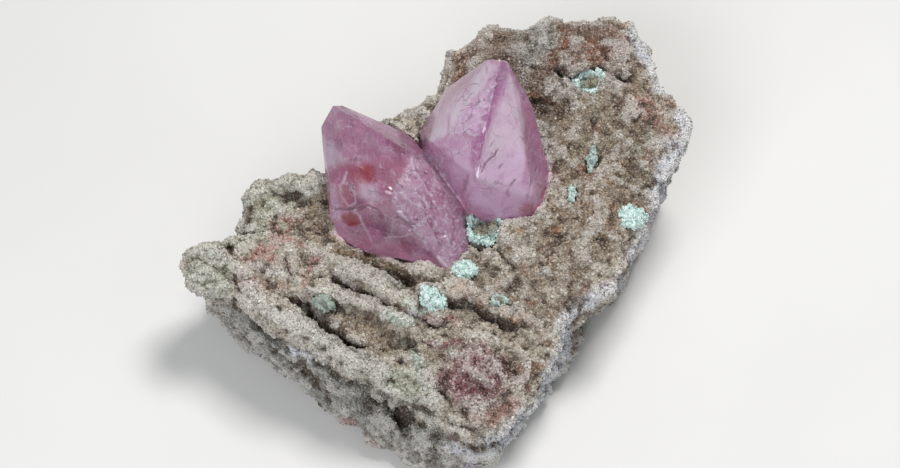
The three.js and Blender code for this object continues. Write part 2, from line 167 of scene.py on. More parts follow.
LEFT_ROCK = (
    Mark(Tint.CREAM, soft=3.0, strength=0.45, corners=(
        (-42, -6), (-36, 3), (-26, 4), (-22, -4), (-22, -12), (-10, -18), (-6, -24), (-14, -26),
        (-24, -22), (-32, -17), (-38, -12))),
    Mark(Tint.GREEN_CREAM, soft=1.6, strength=0.75, relief=0.3, corners=(
        (-34.5, 3), (-32, 5), (-23, 5.6), (-21.5, 3), (-22, 1), (-27, 0.6), (-30, -0.5), (-31, -4),
        (-36, -5), (-34.8, -1))),
    Mark(Tint.GREEN_CREAM, soft=1.2, strength=0.85, corners=(
        (-43.6, -5), (-41, -4), (-38.5, -4.6), (-36, -4), (-34, -6), (-35.6, -9), (-36.2, -12.5),
        (-38, -13.6), (-41, -13.6), (-44, -10), (-42.2, -8))),
    Mark(Tint.CREAM, soft=1.5, strength=0.6, corners=(
        (-40, -5), (-36, -4.6), (-32, -5), (-30, -7.4), (-33, -8.6), (-36, -8.2))),
    Mark(Tint.SLATE, soft=0.9, strength=0.5, corners=(
        (-43.6, -10.6), (-41.5, -11), (-40, -12), (-38, -12.8), (-41, -13.8), (-43.6, -12.4))),
    vein(Tint.OLIVE, (-41, -7), (-39, -8), (-37, -9), (-36.5, -10.8), wide=0.6, strength=0.6,
         relief=-0.6),
    vein(Tint.SHADE, (-35.3, -9.8), (-35, -11), (-34.5, -12.3), wide=0.75, strength=0.9,
         relief=-1.2),
    vein(Tint.ORANGE, (-33.5, -14.6), (-32.8, -15.8), wide=0.6, strength=0.7),
    Mark(Tint.CREAM, soft=1.2, strength=0.8, corners=(
        (-34, -12.4), (-31, -12.6), (-28, -13.5), (-26.5, -15.5), (-22.5, -17.5), (-20.5, -19),
        (-16, -22.5), (-12, -24.6), (-16, -25.8), (-20, -24.5), (-22.2, -22.4), (-25, -20.8),
        (-29, -19.4), (-32.5, -16))),
    # Painted highlight along the lit crest of the left ridge.
    vein(Tint.WHITE, (-33, -13.4), (-29, -16), (-24.5, -18.2), (-20, -21), (-16.4, -24), (-12, -25),
         wide=2.1, strength=0.5, relief=0.6),
    # Painted shade under the lower edge of the left ridge, over its sunk groove.
    vein(Tint.SLATE, (-33.4, -16.5), (-30, -19.4), (-26.5, -20.9), (-22.8, -22.4), (-20, -25.4),
         (-17, -26.6), wide=0.8, strength=0.75, relief=-1.1),
    # The trough inside the left ridge: its brown, deepened as painted shade, and darkest along its sunk
    # foot.
    Mark(Tint.BROWN, soft=0.8, strength=0.9, corners=(
        (-24.8, -14.2), (-22.5, -15.4), (-20, -15.8), (-18.4, -16.4), (-17.5, -18.5),
        (-17.6, -20.6), (-15.4, -22.2), (-13.4, -22.8), (-14.2, -23.2), (-17.6, -21.8),
        (-20, -20.2), (-22.6, -18.2), (-24.6, -16))),
    vein(Tint.SHADE, (-24, -16.2), (-20.6, -18.7), (-17.8, -20.7), (-15, -22.4), wide=1.2,
         strength=0.7, relief=-2.2),
    Mark(Tint.TAN, soft=1.2, strength=0.75, relief=-0.4, corners=(
        (-20, -15.6), (-14, -16), (-11.5, -18), (-10.5, -21), (-13, -23), (-16, -21),
        (-18, -18.6))),
    vein(Tint.TAN, (-24.8, -12.6), (-23.6, -13.4), (-26, -14.4), wide=1.3, strength=0.75),
    # Painted shade: near black in two holes and a dark line in a crack.
    vein(Tint.PIT, (-24.8, -14), (-24.2, -14.6), wide=0.75, strength=1.0, relief=-1.8),
    vein(Tint.PIT, (-28.5, -14.8), (-28.2, -15.3), wide=0.4, strength=0.9, relief=-0.9),
    vein(Tint.SHADE, (-20.4, -14.8), (-18.8, -14.8), wide=0.5, strength=0.7, relief=-0.8),
    vein(Tint.CREAM, (-22, -11.5), (-19.6, -13.1), (-17, -14.3), (-13.5, -15.4), (-11.5, -16),
         wide=1.3, strength=0.9, relief=0.5),
    # Painted brown shade in the groove below the second ridge.
    vein(Tint.BROWN, (-19.6, -10.3), (-17.2, -12.1), (-15, -13.2), (-12.4, -14.1), wide=1.4,
         strength=0.9, relief=-0.9),
    vein(Tint.MAROON, (-18.6, -11.4), (-16.6, -12.9), (-14.6, -13.7), wide=0.4, strength=0.6,
         relief=-0.4),
    vein(Tint.CREAM, (-18.8, -8.9), (-15.6, -10), (-13, -11.8), (-10.6, -13), (-8.4, -14.2),
         wide=1.3, strength=0.95, relief=0.6),
    vein(Tint.MINT, (-8.8, -14.2), (-7.2, -15), (-5.4, -15.1), wide=0.7, strength=0.9, relief=0.4),
    # Painted shadow that the left crystal casts on the rock below and beside its foot: the tan band,
    # its darker core and the wide tan beside the foot. The rust streak among them is a stain.
    vein(Tint.TAN, (-20, -5.6), (-16.4, -7.4), (-12, -8.5), (-8, -9.4), wide=1.5, strength=0.8,
         relief=0.3),
    vein(Tint.BROWN, (-16.4, -7.6), (-13.6, -8.1), wide=0.7, strength=0.6),
    vein(Tint.RUST, (-17, -6.8), (-15.8, -6.4), wide=0.6, strength=0.6),
    vein(Tint.TAN, (-22.6, 0.6), (-22, -3), (-20, -6), wide=3.2, strength=0.7),
    vein(Tint.TAN, (-25, 0.8), (-23, 1.4), wide=1.4, strength=0.5),
    # Painted shade in a cavity and a groove in the shaded band below the left crystal.
    vein(Tint.SLATE, (-12.2, -9.4), (-10.8, -10.6), (-9.2, -12), wide=0.95, strength=0.8,
         relief=-0.8),
    vein(Tint.BROWN, (-8.6, -11), (-7, -12.6), (-6.4, -13.8), wide=1.4, strength=0.85, relief=-1.4),
    vein(Tint.RUST, (-7, -10), (-6.4, -10.4), wide=0.6, strength=0.6),
    vein(Tint.RUST, (-29.5, -1.6), (-29.4, -2.6), (-28, -3.3), (-26, -2.3), (-25, -1.4),
         (-24.2, -1.2), wide=0.6, strength=0.8, relief=-0.4),
    vein(Tint.ROSE, (-28.4, -1.2), (-26.4, -1.3), wide=0.6, strength=0.75),
    vein(Tint.RUST, (-22.2, -2.8), (-20.8, -3.4), wide=0.9, strength=0.5),
    vein(Tint.ROSE, (-33.4, -7.3), (-31, -6.5), (-29.4, -7.1), wide=1.0, strength=0.85),
    vein(Tint.ROSE, (-31.4, -5.7), (-29, -5.4), wide=0.7, strength=0.6),
    vein(Tint.ROSE, (-29.6, -3.8), (-26.4, -4.4), (-25, -5.2), wide=0.9, strength=0.65),
    vein(Tint.MAROON, (-27.7, -7.1), (-26.9, -8.7), (-26.3, -10.1), wide=0.42, strength=0.85,
         relief=-0.8),
    vein(Tint.ROSE, (-22.6, -7.2), (-23.6, -8.4), (-24.5, -9.8), (-24.9, -11.2), wide=0.75,
         strength=0.7, relief=-0.5),
    vein(Tint.CRIMSON, (-23, -7.3), (-22.3, -7.0), wide=0.55, strength=0.8),
    vein(Tint.WHITE, (-32.5, -8.4), (-30, -9.2), (-27.8, -9.8), wide=1.1, strength=0.7, relief=0.3),
    vein(Tint.ROSE, (-34, -10.4), (-31, -11.4), (-28, -11.8), wide=1.2, strength=0.45),
    vein(Tint.BROWN, (-33, 0.5), (-33.3, -1.2), (-33.9, -3.0), wide=0.8, strength=0.9, relief=-0.8),
    vein(Tint.OLIVE, (-28.6, 2.4), (-26.8, 1.9), (-25, 2.6), wide=0.55, strength=0.7, relief=-0.7),
    vein(Tint.OLIVE, (-30.6, 2.7), (-29.8, 2.1), wide=0.4, strength=0.7, relief=-0.5),
    vein(Tint.OLIVE, (-33.4, 2.1), (-31.8, 1.5), (-30.8, 1.1), wide=0.45, strength=0.6,
         relief=-0.5),
    vein(Tint.OLIVE, (-32.4, -1.0), (-31.4, -2.4), (-32, -3.4), wide=0.8, strength=0.4),
    Mark(Tint.GREY, soft=1.2, strength=0.75, corners=(
        (-38, -13), (-34, -15.2), (-31, -18.5), (-27, -21), (-22.6, -22.6), (-19.6, -26),
        (-16, -28), (-13, -32), (-16, -34), (-20, -32.5), (-25, -29), (-29, -25), (-34, -22),
        (-38, -17.6))),
    # Painted shade in the creases along the lower-left wall.
    vein(Tint.SLATE, (-32, -17.8), (-29, -21.2), (-26, -23.4), (-24.2, -25), (-23, -26.6), wide=1.0,
         strength=0.8, relief=-1.1),
    vein(Tint.SHADE, (-25.4, -23.4), (-23.8, -25.4), wide=0.7, strength=0.6, relief=-0.5),
    vein(Tint.PALE_BLUE, (-26.4, -21.6), (-24.4, -22.1), (-23.4, -22.9), wide=0.85, strength=0.9,
         relief=0.3),
    vein(Tint.SLATE, (-22.4, -23.2), (-20.2, -25.6), (-17.5, -28.5), wide=1.8, strength=0.45),
    vein(Tint.GREY, (-19.5, -29), (-15, -30), wide=2.0, strength=0.5),
    vein(Tint.ROSE, (-19.6, -32.5), (-17, -32.4), wide=0.9, strength=0.45),
    vein(Tint.ROSE, (-15.6, -35), (-13, -37), wide=0.9, strength=0.4),
)

FRONT_ROCK = (
    # Painted shade under the lower edge of the left ridge, where it ends.
    vein(Tint.SLATE, (-17.2, -26.3), (-14.6, -27.2), wide=0.8, strength=0.9, relief=-1.3),
    Mark(Tint.GREEN_CREAM, soft=1.0, strength=0.8, relief=0.6, corners=(
        (-16, -25.6), (-12, -24.2), (-8, -24.2), (-5.6, -25.4), (-4.2, -27.4), (-4.2, -29.6),
        (-6, -29.4), (-8.6, -29.4), (-10.5, -28.8), (-12.6, -27.6), (-14, -26.4))),
    vein(Tint.WHITE, (-6.4, -28.6), (-4.8, -29.1), (-3.8, -29.4), wide=0.85, strength=0.9,
         relief=0.4),
    # Painted shade: near black in the cave under the overhang.
    vein(Tint.PIT, (-12.5, -28.8), (-11.4, -30.6), (-10, -32), wide=1.25, strength=0.75,
         relief=-2.6),
    vein(Tint.OLIVE, (-9.6, -30.4), (-8.4, -31.2), (-6.4, -32.7), wide=1.1, strength=0.85,
         relief=-1.4),
    # Painted shade under the block and beside it.
    vein(Tint.SLATE, (-8.2, -29.9), (-6, -30.6), (-4.4, -31.1), wide=0.75, strength=0.85,
         relief=-1.0),
    vein(Tint.SLATE, (-3.4, -28.6), (-2.3, -29.2), wide=0.7, strength=0.6, relief=-0.4),
    vein(Tint.CREAM, (-7, -31.8), (-4, -32.7), (-1, -33.9), (0.4, -34.8), wide=0.95, strength=0.85,
         relief=0.9),
    vein(Tint.SHADE, (-1.6, -32.8), (-0.1, -33.2), wide=0.3, strength=0.9, relief=-0.6),
    vein(Tint.MAROON, (-2.4, -35.1), (0, -35.6), wide=0.45, strength=0.6, relief=-0.4),
    vein(Tint.SHADE, (0.6, -35.8), (1.9, -36.5), wide=0.55, strength=0.9, relief=-0.8),
    vein(Tint.PALE_BLUE, (-2.4, -36.4), (2, -37.8), (5, -37.4), wide=1.1, strength=0.6, relief=0.7),
    vein(Tint.TAN, (1.2, -34.4), (1.6, -35), wide=1.2, strength=0.85, relief=0.4),
    vein(Tint.SHADE, (0.9, -33.5), (2.0, -33.6), wide=0.35, strength=0.8, relief=-0.6),
    vein(Tint.SLATE, (-4, -34.6), (-4.5, -37.8), wide=1.1, strength=0.6, relief=-0.7),
    vein(Tint.GREY, (-12, -33.8), (-8, -35), (-6, -37), wide=2.6, strength=0.6),
    vein(Tint.PALE_BLUE, (4, -35.6), (6, -34.8), wide=1.1, strength=0.6),
    vein(Tint.LAVENDER, (0.4, -39.6), (1.6, -39.4), wide=1.0, strength=0.7),
    Mark(Tint.WINE, soft=2.6, strength=1.0, relief=0.6, corners=(
        (-4.5, -26.5), (-1.5, -23), (0.5, -21), (4, -21), (7, -23.5), (7.4, -25.5), (5.5, -28),
        (3.6, -29), (1, -31), (-1, -29), (-3, -27.6))),
    vein(Tint.MAROON, (-4, -26.4), (-1.4, -27.1), wide=0.9, strength=0.75),
    vein(Tint.MAROON, (1.4, -28.6), (3.4, -27.9), wide=1.0, strength=0.6),
    vein(Tint.MAROON, (5, -22.4), (7, -24), wide=0.7, strength=0.5),
    vein(Tint.MAROON, (5.9, -26.4), (6.5, -25.2), wide=0.8, strength=0.6),
    vein(Tint.MAROON, (5.2, -30), (5.6, -30.3), wide=0.7, strength=0.6),
    vein(Tint.MAROON, (0.6, -25.6), (2.6, -26.6), wide=1.2, strength=0.55),
    vein(Tint.ROSE, (2, -32), (5, -31.6), (8, -30), wide=1.8, strength=0.5),
    vein(Tint.SHADE, (7.4, -24.8), (8.3, -25.5), wide=0.8, strength=0.9, relief=-1.0),
    vein(Tint.RUST, (8.6, -24.2), (11.4, -24.2), wide=0.85, strength=0.75, relief=0.4),
    vein(Tint.ORANGE, (11.8, -23.8), (12.2, -23.8), wide=0.8, strength=0.85),
    vein(Tint.RUST, (9.9, -27.2), (10.2, -27.6), wide=0.65, strength=0.75, relief=-0.3),
    vein(Tint.WINE, (-5.6, -20.2), (-3, -20.5), (-0.4, -20.2), wide=0.65, strength=0.95,
         relief=0.3),
    vein(Tint.MAROON, (-5.2, -20.9), (-1, -21), wide=0.3, strength=0.8, relief=-0.4),
    vein(Tint.ROSE, (-5, -16.5), (-3, -16.3), (-1, -17), wide=1.1, strength=0.7),
    vein(Tint.CRIMSON, (-3.4, -17.2), (-2.9, -17.7), wide=0.5, strength=0.7),
    vein(Tint.MAROON, (-6.8, -16.1), (-5, -17.5), (-4, -17.9), (-2.8, -17.7), wide=0.55,
         strength=1.0, relief=-1.4),
    vein(Tint.LAVENDER, (-8.8, -15.7), (-7, -16), wide=0.5, strength=0.6),
    vein(Tint.BROWN, (-0.6, -13.9), (1.6, -14.4), (3.8, -15.6), wide=1.2, strength=0.8,
         relief=-0.6),
    # Painted shade: near black in the crack under the overhanging ledge.
    vein(Tint.PIT, (-1.9, -14.4), (0.2, -14.3), (2, -15.3), (4.4, -16.3), (6, -17.4), (8.4, -17.8),
         wide=0.6, strength=0.95, relief=-1.8),
    vein(Tint.ORANGE, (-1.6, -12.2), (0, -11.5), (1, -12.5), wide=1.35, strength=0.8, relief=0.8),
    vein(Tint.RUST, (-0.9, -12.6), (0.4, -13.2), wide=0.6, strength=0.7),
    vein(Tint.ORANGE, (2.4, -13), (3.1, -14), wide=0.9, strength=0.55),
    vein(Tint.ORANGE, (6.2, -15.4), (7.2, -16.5), (9.6, -16.3), (11, -17.4), (12, -19), wide=0.85,
         strength=0.7, relief=0.5),
    vein(Tint.BROWN, (10.8, -17.6), (11.9, -19.6), wide=0.35, strength=0.8, relief=-0.5),
    Mark(Tint.CREAM, soft=1.4, strength=0.6, relief=0.3, corners=(
        (0, -16.6), (6, -18.4), (12, -20), (13, -22), (8, -23), (4, -20.6), (-2, -19.4),
        (-6, -18.6))),
    vein(Tint.PALE_BLUE, (24.4, -11), (20, -13.6), (16.4, -15.8), (15.6, -18.6), (15.9, -22),
         (13.6, -25), (13, -28.6), (10, -31.6), (7.4, -33.8), (6.4, -36), wide=1.6, strength=0.85),
    # Painted shade in a shaded patch below the right rim.
    vein(Tint.SLATE, (17.6, -14.5), (18.6, -14.4), wide=0.9, strength=0.6, relief=-0.4),
    # Painted shade in a small sunk spot.
    vein(Tint.BROWN, (7.2, -12), (8.5, -11.4), wide=1.0, strength=0.85, relief=-0.9),
    vein(Tint.TAN, (10.4, -10.4), (11.7, -12), wide=1.4, strength=0.7, relief=-0.4),
    vein(Tint.BROWN, (12.6, -13.4), (13.4, -14.7), wide=0.8, strength=0.6, relief=-0.5),
    # Painted shade: near black in a small pit.
    vein(Tint.PIT, (7.2, -14.5), (8, -14.3), wide=0.32, strength=0.9, relief=-0.6),
    vein(Tint.BROWN, (4.3, -5.5), (6.2, -7), (8, -8.8), wide=0.7, strength=0.65, relief=-0.7),
    vein(Tint.BROWN, (8.4, -4.4), (8.7, -5.4), wide=0.7, strength=0.6),
    vein(Tint.TAN, (12.4, -8.2), (15, -9.1), wide=0.55, strength=0.7, relief=-0.6),
    vein(Tint.RUST, (18.8, -10.3), (19.3, -12.2), wide=0.55, strength=0.7),
    vein(Tint.TAN, (16.4, -7), (18, -6.6), wide=0.8, strength=0.6),
    vein(Tint.RUST, (22.8, -11.5), (21.4, -12), wide=0.5, strength=0.5),
    vein(Tint.PIT, (16.3, -8.2), (16.5, -8.2), wide=0.22, strength=0.8),
    vein(Tint.PIT, (17.9, -8.2), (18.1, -8.2), wide=0.22, strength=0.8),
    vein(Tint.TAN, (14, -15), (14.7, -15.5), wide=0.8, strength=0.6),
    vein(Tint.MOSS, (-8.8, -20.3), (-7, -22.6), (-6.3, -25), wide=1.0, strength=0.75, relief=0.2),
    # Painted shade: near black in a hole.
    vein(Tint.PIT, (-9.7, -22.9), (-8.5, -23.4), wide=0.55, strength=1.0, relief=-1.4),
    vein(Tint.SLATE, (-7.9, -21.3), (-7, -22), wide=0.5, strength=0.5, relief=-0.5),
    vein(Tint.MINT, (-11.6, -15.7), (-10, -16.8), (-8.4, -17), wide=1.1, strength=0.8, relief=0.4),
    vein(Tint.MINT, (-1.8, -21.5), (-1.3, -21.7), wide=0.8, strength=0.5),
)

RIGHT_ROCK = (
    Mark(Tint.UMBER, soft=3.0, strength=0.62, corners=(
        (8, 22), (12, 25), (18, 27), (26, 26), (29, 20), (31, 14), (31, 8), (29, 1), (24, -1),
        (16, 0), (15, 8), (10, 17))),
    Mark(Tint.TAN, soft=3.0, strength=0.5, corners=(
        (14, 1), (24, 1), (29, 2), (27, -4), (20, -8), (12, -6), (13, 0))),
    Mark(Tint.OLIVE, soft=3.0, strength=0.3, corners=(
        (14, 19), (20, 20), (26, 18), (28, 12), (26, 7), (20, 7), (16, 10))),
    Mark(Tint.BROWN, soft=1.6, strength=0.6, corners=(
        (9, 20), (11, 23), (15, 23.5), (18.6, 22.6), (17.6, 18.6), (14.6, 13.6), (13.9, 8),
        (14.9, 3.4), (12.4, 3), (11.4, 12), (9.6, 17))),
    Mark(Tint.DUSKY, soft=2.0, strength=0.75, corners=(
        (-2, 26), (4, 29), (10, 30), (16, 30), (22, 30), (27, 28), (27.4, 22), (21, 20), (16, 20.6),
        (10, 20), (2, 20), (-2, 20))),
    Mark(Tint.DUSKY, soft=1.8, strength=0.75, corners=(
        (11, 27.5), (16, 28.6), (22, 29), (26, 27.6), (26.4, 24), (21, 23), (16, 23.6),
        (12.6, 24.4))),
    Mark(Tint.DUSKY, soft=2.0, strength=0.5, corners=(
        (23, 18), (28, 18.6), (30.6, 15.6), (31, 12.6), (28, 12), (25, 13.6))),
    Mark(Tint.GREY, soft=1.6, strength=0.6, corners=(
        (8.6, 22), (7.4, 27), (12, 30), (14, 28.6), (14.6, 25.4), (11.4, 22.6))),
    vein(Tint.ORANGE, (-0.9, 24.4), (-0.3, 24.8), wide=0.6, strength=0.85),
    vein(Tint.RUST, (0.4, 23.2), (1, 21.6), (-1, 20.2), wide=1.5, strength=0.75),
    vein(Tint.BROWN, (1.2, 22.4), (2, 21.4), wide=0.8, strength=0.7),
    vein(Tint.GREY, (12, 29), (13, 26), (10, 24), wide=2.8, strength=0.6),
    vein(Tint.WHITE, (10.6, 23.6), (9.4, 21.4), (9.8, 20), wide=0.9, strength=0.5),
    vein(Tint.RUST, (15.6, 27.4), (16.0, 26), (15.2, 24.6), (14.4, 23.8), wide=1.4, strength=0.9,
         relief=-0.3),
    vein(Tint.RUST, (14.2, 24.4), (12.6, 23.4), wide=1.0, strength=0.55),
    vein(Tint.CREAM, (15, 24.3), (15.5, 24.1), wide=0.7, strength=0.6, relief=0.3),
    vein(Tint.RUST, (19.6, 26.2), (20.6, 25), (22.6, 24.8), (21, 23.8), (19.6, 24), wide=1.5,
         strength=0.9, relief=-0.5),
    vein(Tint.RUST, (23.4, 28.4), (24.4, 27.2), (23.8, 26.6), wide=0.75, strength=0.6),
    vein(Tint.ORANGE, (24.8, 29.2), (25.3, 29.1), wide=0.6, strength=0.5),
    vein(Tint.ROSE, (24.8, 27), (25.5, 25.6), (24.6, 24.8), wide=1.0, strength=0.5, relief=0.3),
    # Painted shade: near black in a hole.
    vein(Tint.PIT, (21.1, 22.5), (21.7, 22.4), wide=0.6, strength=1.0, relief=-1.4),
    vein(Tint.SHADE, (14.7, 21.7), (15.5, 20.7), wide=1.2, strength=0.95, relief=-1.6),
    vein(Tint.SHADE, (17.2, 20.2), (18.2, 18.6), wide=0.8, strength=0.8, relief=-0.8),
    vein(Tint.RUST, (17.2, 23.4), (17.8, 22.6), wide=0.6, strength=0.7),
    vein(Tint.SHADE, (22.8, 21.4), (24, 21), (25.8, 21), wide=1.1, strength=0.95, relief=-1.4),
    vein(Tint.RUST, (22.3, 21.8), (22.5, 21.2), wide=0.6, strength=0.8),
    vein(Tint.BROWN, (23.6, 20.2), (22, 19.7), wide=0.9, strength=0.7, relief=-0.4),
    vein(Tint.BROWN, (24.6, 17.5), (23.4, 18.1), wide=0.8, strength=0.65, relief=-0.4),
    vein(Tint.RUST, (10.2, 17.9), (12, 17.3), (14, 16.8), wide=0.7, strength=0.9, relief=-0.8),
    vein(Tint.SHADE, (10.4, 17), (12, 15.9), wide=0.9, strength=0.8, relief=-1.0),
    vein(Tint.ORANGE, (10.6, 18.2), (11.1, 18.0), wide=0.5, strength=0.7),
    vein(Tint.BROWN, (13.8, 15.4), (11.6, 14.7), wide=0.9, strength=0.6, relief=-0.4),
    vein(Tint.RUST, (20.2, 13.8), (20.7, 12.3), wide=0.75, strength=0.8, relief=-0.3),
    vein(Tint.ROSE, (26.8, 17.6), (28.9, 17.2), wide=0.7, strength=0.7),
    vein(Tint.ROSE, (28, 16), (30.4, 14), wide=1.8, strength=0.4),
    vein(Tint.ROSE, (32, 12.3), (32.8, 12), wide=0.8, strength=0.45),
    vein(Tint.ORANGE, (29.2, 18.6), (29.6, 18.6), wide=0.5, strength=0.5),
    vein(Tint.RUST, (22.9, 7.8), (24.4, 7.4), (25.6, 6.5), wide=0.5, strength=0.85, relief=-0.5),
    vein(Tint.BROWN, (22.4, 10), (25.4, 9.4), wide=1.2, strength=0.5),
    vein(Tint.OLIVE, (25, 5.2), (27, 6.6), (28.6, 4.6), wide=2.0, strength=0.5, relief=-0.5),
    vein(Tint.ORANGE, (22.4, 5), (23, 4.6), wide=0.7, strength=0.5),
    vein(Tint.BROWN, (27.8, 2.9), (29, 2.1), wide=0.45, strength=0.7, relief=-0.4),
    vein(Tint.MOSS, (26.6, 9.2), (28.4, 10.6), (29, 12.2), wide=1.1, strength=0.35),
    vein(Tint.RUST, (18.4, 6.5), (20.2, 5.5), wide=0.8, strength=0.95, relief=-0.9),
    vein(Tint.BROWN, (17.5, 4), (17, 2.3), wide=0.55, strength=0.85, relief=-0.5),
    vein(Tint.RUST, (14.7, 6.2), (15.5, 4.3), wide=0.6, strength=0.75, relief=-0.3),
    vein(Tint.RUST, (14.2, 3.6), (15.3, 3.3), wide=0.5, strength=0.7),
    vein(Tint.ORANGE, (14.1, -2.9), (14.7, -2.7), wide=0.8, strength=0.95, relief=0.2),
    vein(Tint.ORANGE, (22.4, -1.6), (23.2, -1.6), wide=0.75, strength=0.7),
    vein(Tint.ORANGE, (22.6, 0.8), (23.1, 0.6), wide=0.6, strength=0.5),
    vein(Tint.ORANGE, (27.8, 0.5), (28.3, 0.3), wide=0.75, strength=0.6),
    vein(Tint.ORANGE, (8.3, -3), (8.9, -3), wide=0.55, strength=0.5),
    vein(Tint.SHADE, (10.4, -1.6), (11.4, -2), wide=0.6, strength=0.75, relief=-0.6),
    vein(Tint.PALE_BLUE, (26.6, 28), (27.6, 25.8), (29, 22.8), (30.6, 20.8), (31.2, 19), wide=1.6,
         strength=0.9),
    vein(Tint.PALE_BLUE, (34.6, 15), (35.2, 12.6), (33.8, 10.4), (32.6, 8.4), (31.2, 6.2),
         (30.4, 3.4), (30.2, 0), (29.8, -2), (27, -7), wide=2.2, strength=0.9),
    vein(Tint.LAVENDER, (31.2, 10.2), (33, 11), wide=0.9, strength=0.6),
)


def seen_from_front(places: np.ndarray) -> tuple[np.ndarray, np.ndarray]:
    """Where each place shows from where the photograph was taken, and that direction.

    Args:
        places: rows of coordinates in metres.

    Returns:
        Millimetres to the right of the crystals' seat and up, and the direction towards the eye.
    """
    turned = np.array(Matrix.Rotation(math.radians(-LEAN_DEG), 3, "X"))
    square = (places / MM - np.array(AIM_MM)) @ turned.T
    seat = (np.array(SEAT_MM) - np.array(AIM_MM)) @ turned.T
    nearness = SIGHT_MM / (SIGHT_MM - square[:, 2:3])
    return square[:, :2] * nearness - seat[:2], turned[2]


def share_of(front: np.ndarray, mark: Mark) -> np.ndarray:
    """How much of a mark each place gets.

    Args:
        front: the places as seen from the front, in millimetres.
        mark: the mark.

    Returns:
        From 0 to 1 for each place.
    """
    corners = np.array(mark.corners, dtype=float)
    if not mark.closed:
        return np.clip(1.6 * (1.0 - line_distance(front, corners) / mark.soft), 0.0, 1.0)
    ring = np.vstack([corners, corners[:1]])
    gap = line_distance(front, ring)
    inside = np.zeros(len(front), dtype=bool)
    for (x0, y0), (x1, y1) in zip(ring[:-1], ring[1:]):
        if y0 == y1:
            continue
        crosses = (y0 > front[:, 1]) != (y1 > front[:, 1])
        inside ^= crosses & (front[:, 0] < (x1 - x0) * (front[:, 1] - y0) / (y1 - y0) + x0)
    return np.clip(0.5 + np.where(inside, gap, -gap) / mark.soft, 0.0, 1.0)


def wander(places: np.ndarray, often: float, reach: float) -> np.ndarray:
    """Small wanderings for lines and edges, so that none is straight.

    Args:
        places: rows of coordinates in metres.
        often: how many turns there are in a millimetre.
        reach: how far they go, in millimetres.

    Returns:
        Two millimetre offsets for each place.
    """
    noise.seed_set(WANDER_SEED)
    turns = [noise.noise_vector(Vector(place) * (often / MM)) for place in places]
    return np.array(turns)[:, :2] * reach


def paint(
    piece: bpy.types.Object, marks: tuple[Mark, ...], ground: Colour, front: np.ndarray,
    filled: bool = False,
) -> None:
    """Stores the marks' colours on a piece, with how much they cover as the fourth number.

    Args:
        piece: the piece.
        marks: the marks, the later ones over the earlier.
        ground: the colour where no mark is.
        front: the piece's vertices as seen from the front.
        filled: whether the ground's colour covers as well, and not the marks alone.
    """
    colours = np.tile(np.array(ground), (len(front), 1))
    cover = np.full((len(front), 1), float(filled))
    for mark in marks:
        strength = (share_of(front, mark) * mark.strength)[:, None]
        fresh = strength / np.maximum(strength + cover * (1.0 - strength), 0.0001)
        colours = colours * (1.0 - fresh) + np.array(mark.tint.value) * fresh
        cover = cover + strength - cover * strength
    attribute = piece.data.attributes.new("tinge", "FLOAT_COLOR", "POINT")
    attribute.data.foreach_set("color", np.hstack([colours, cover]).astype(np.float32).ravel())


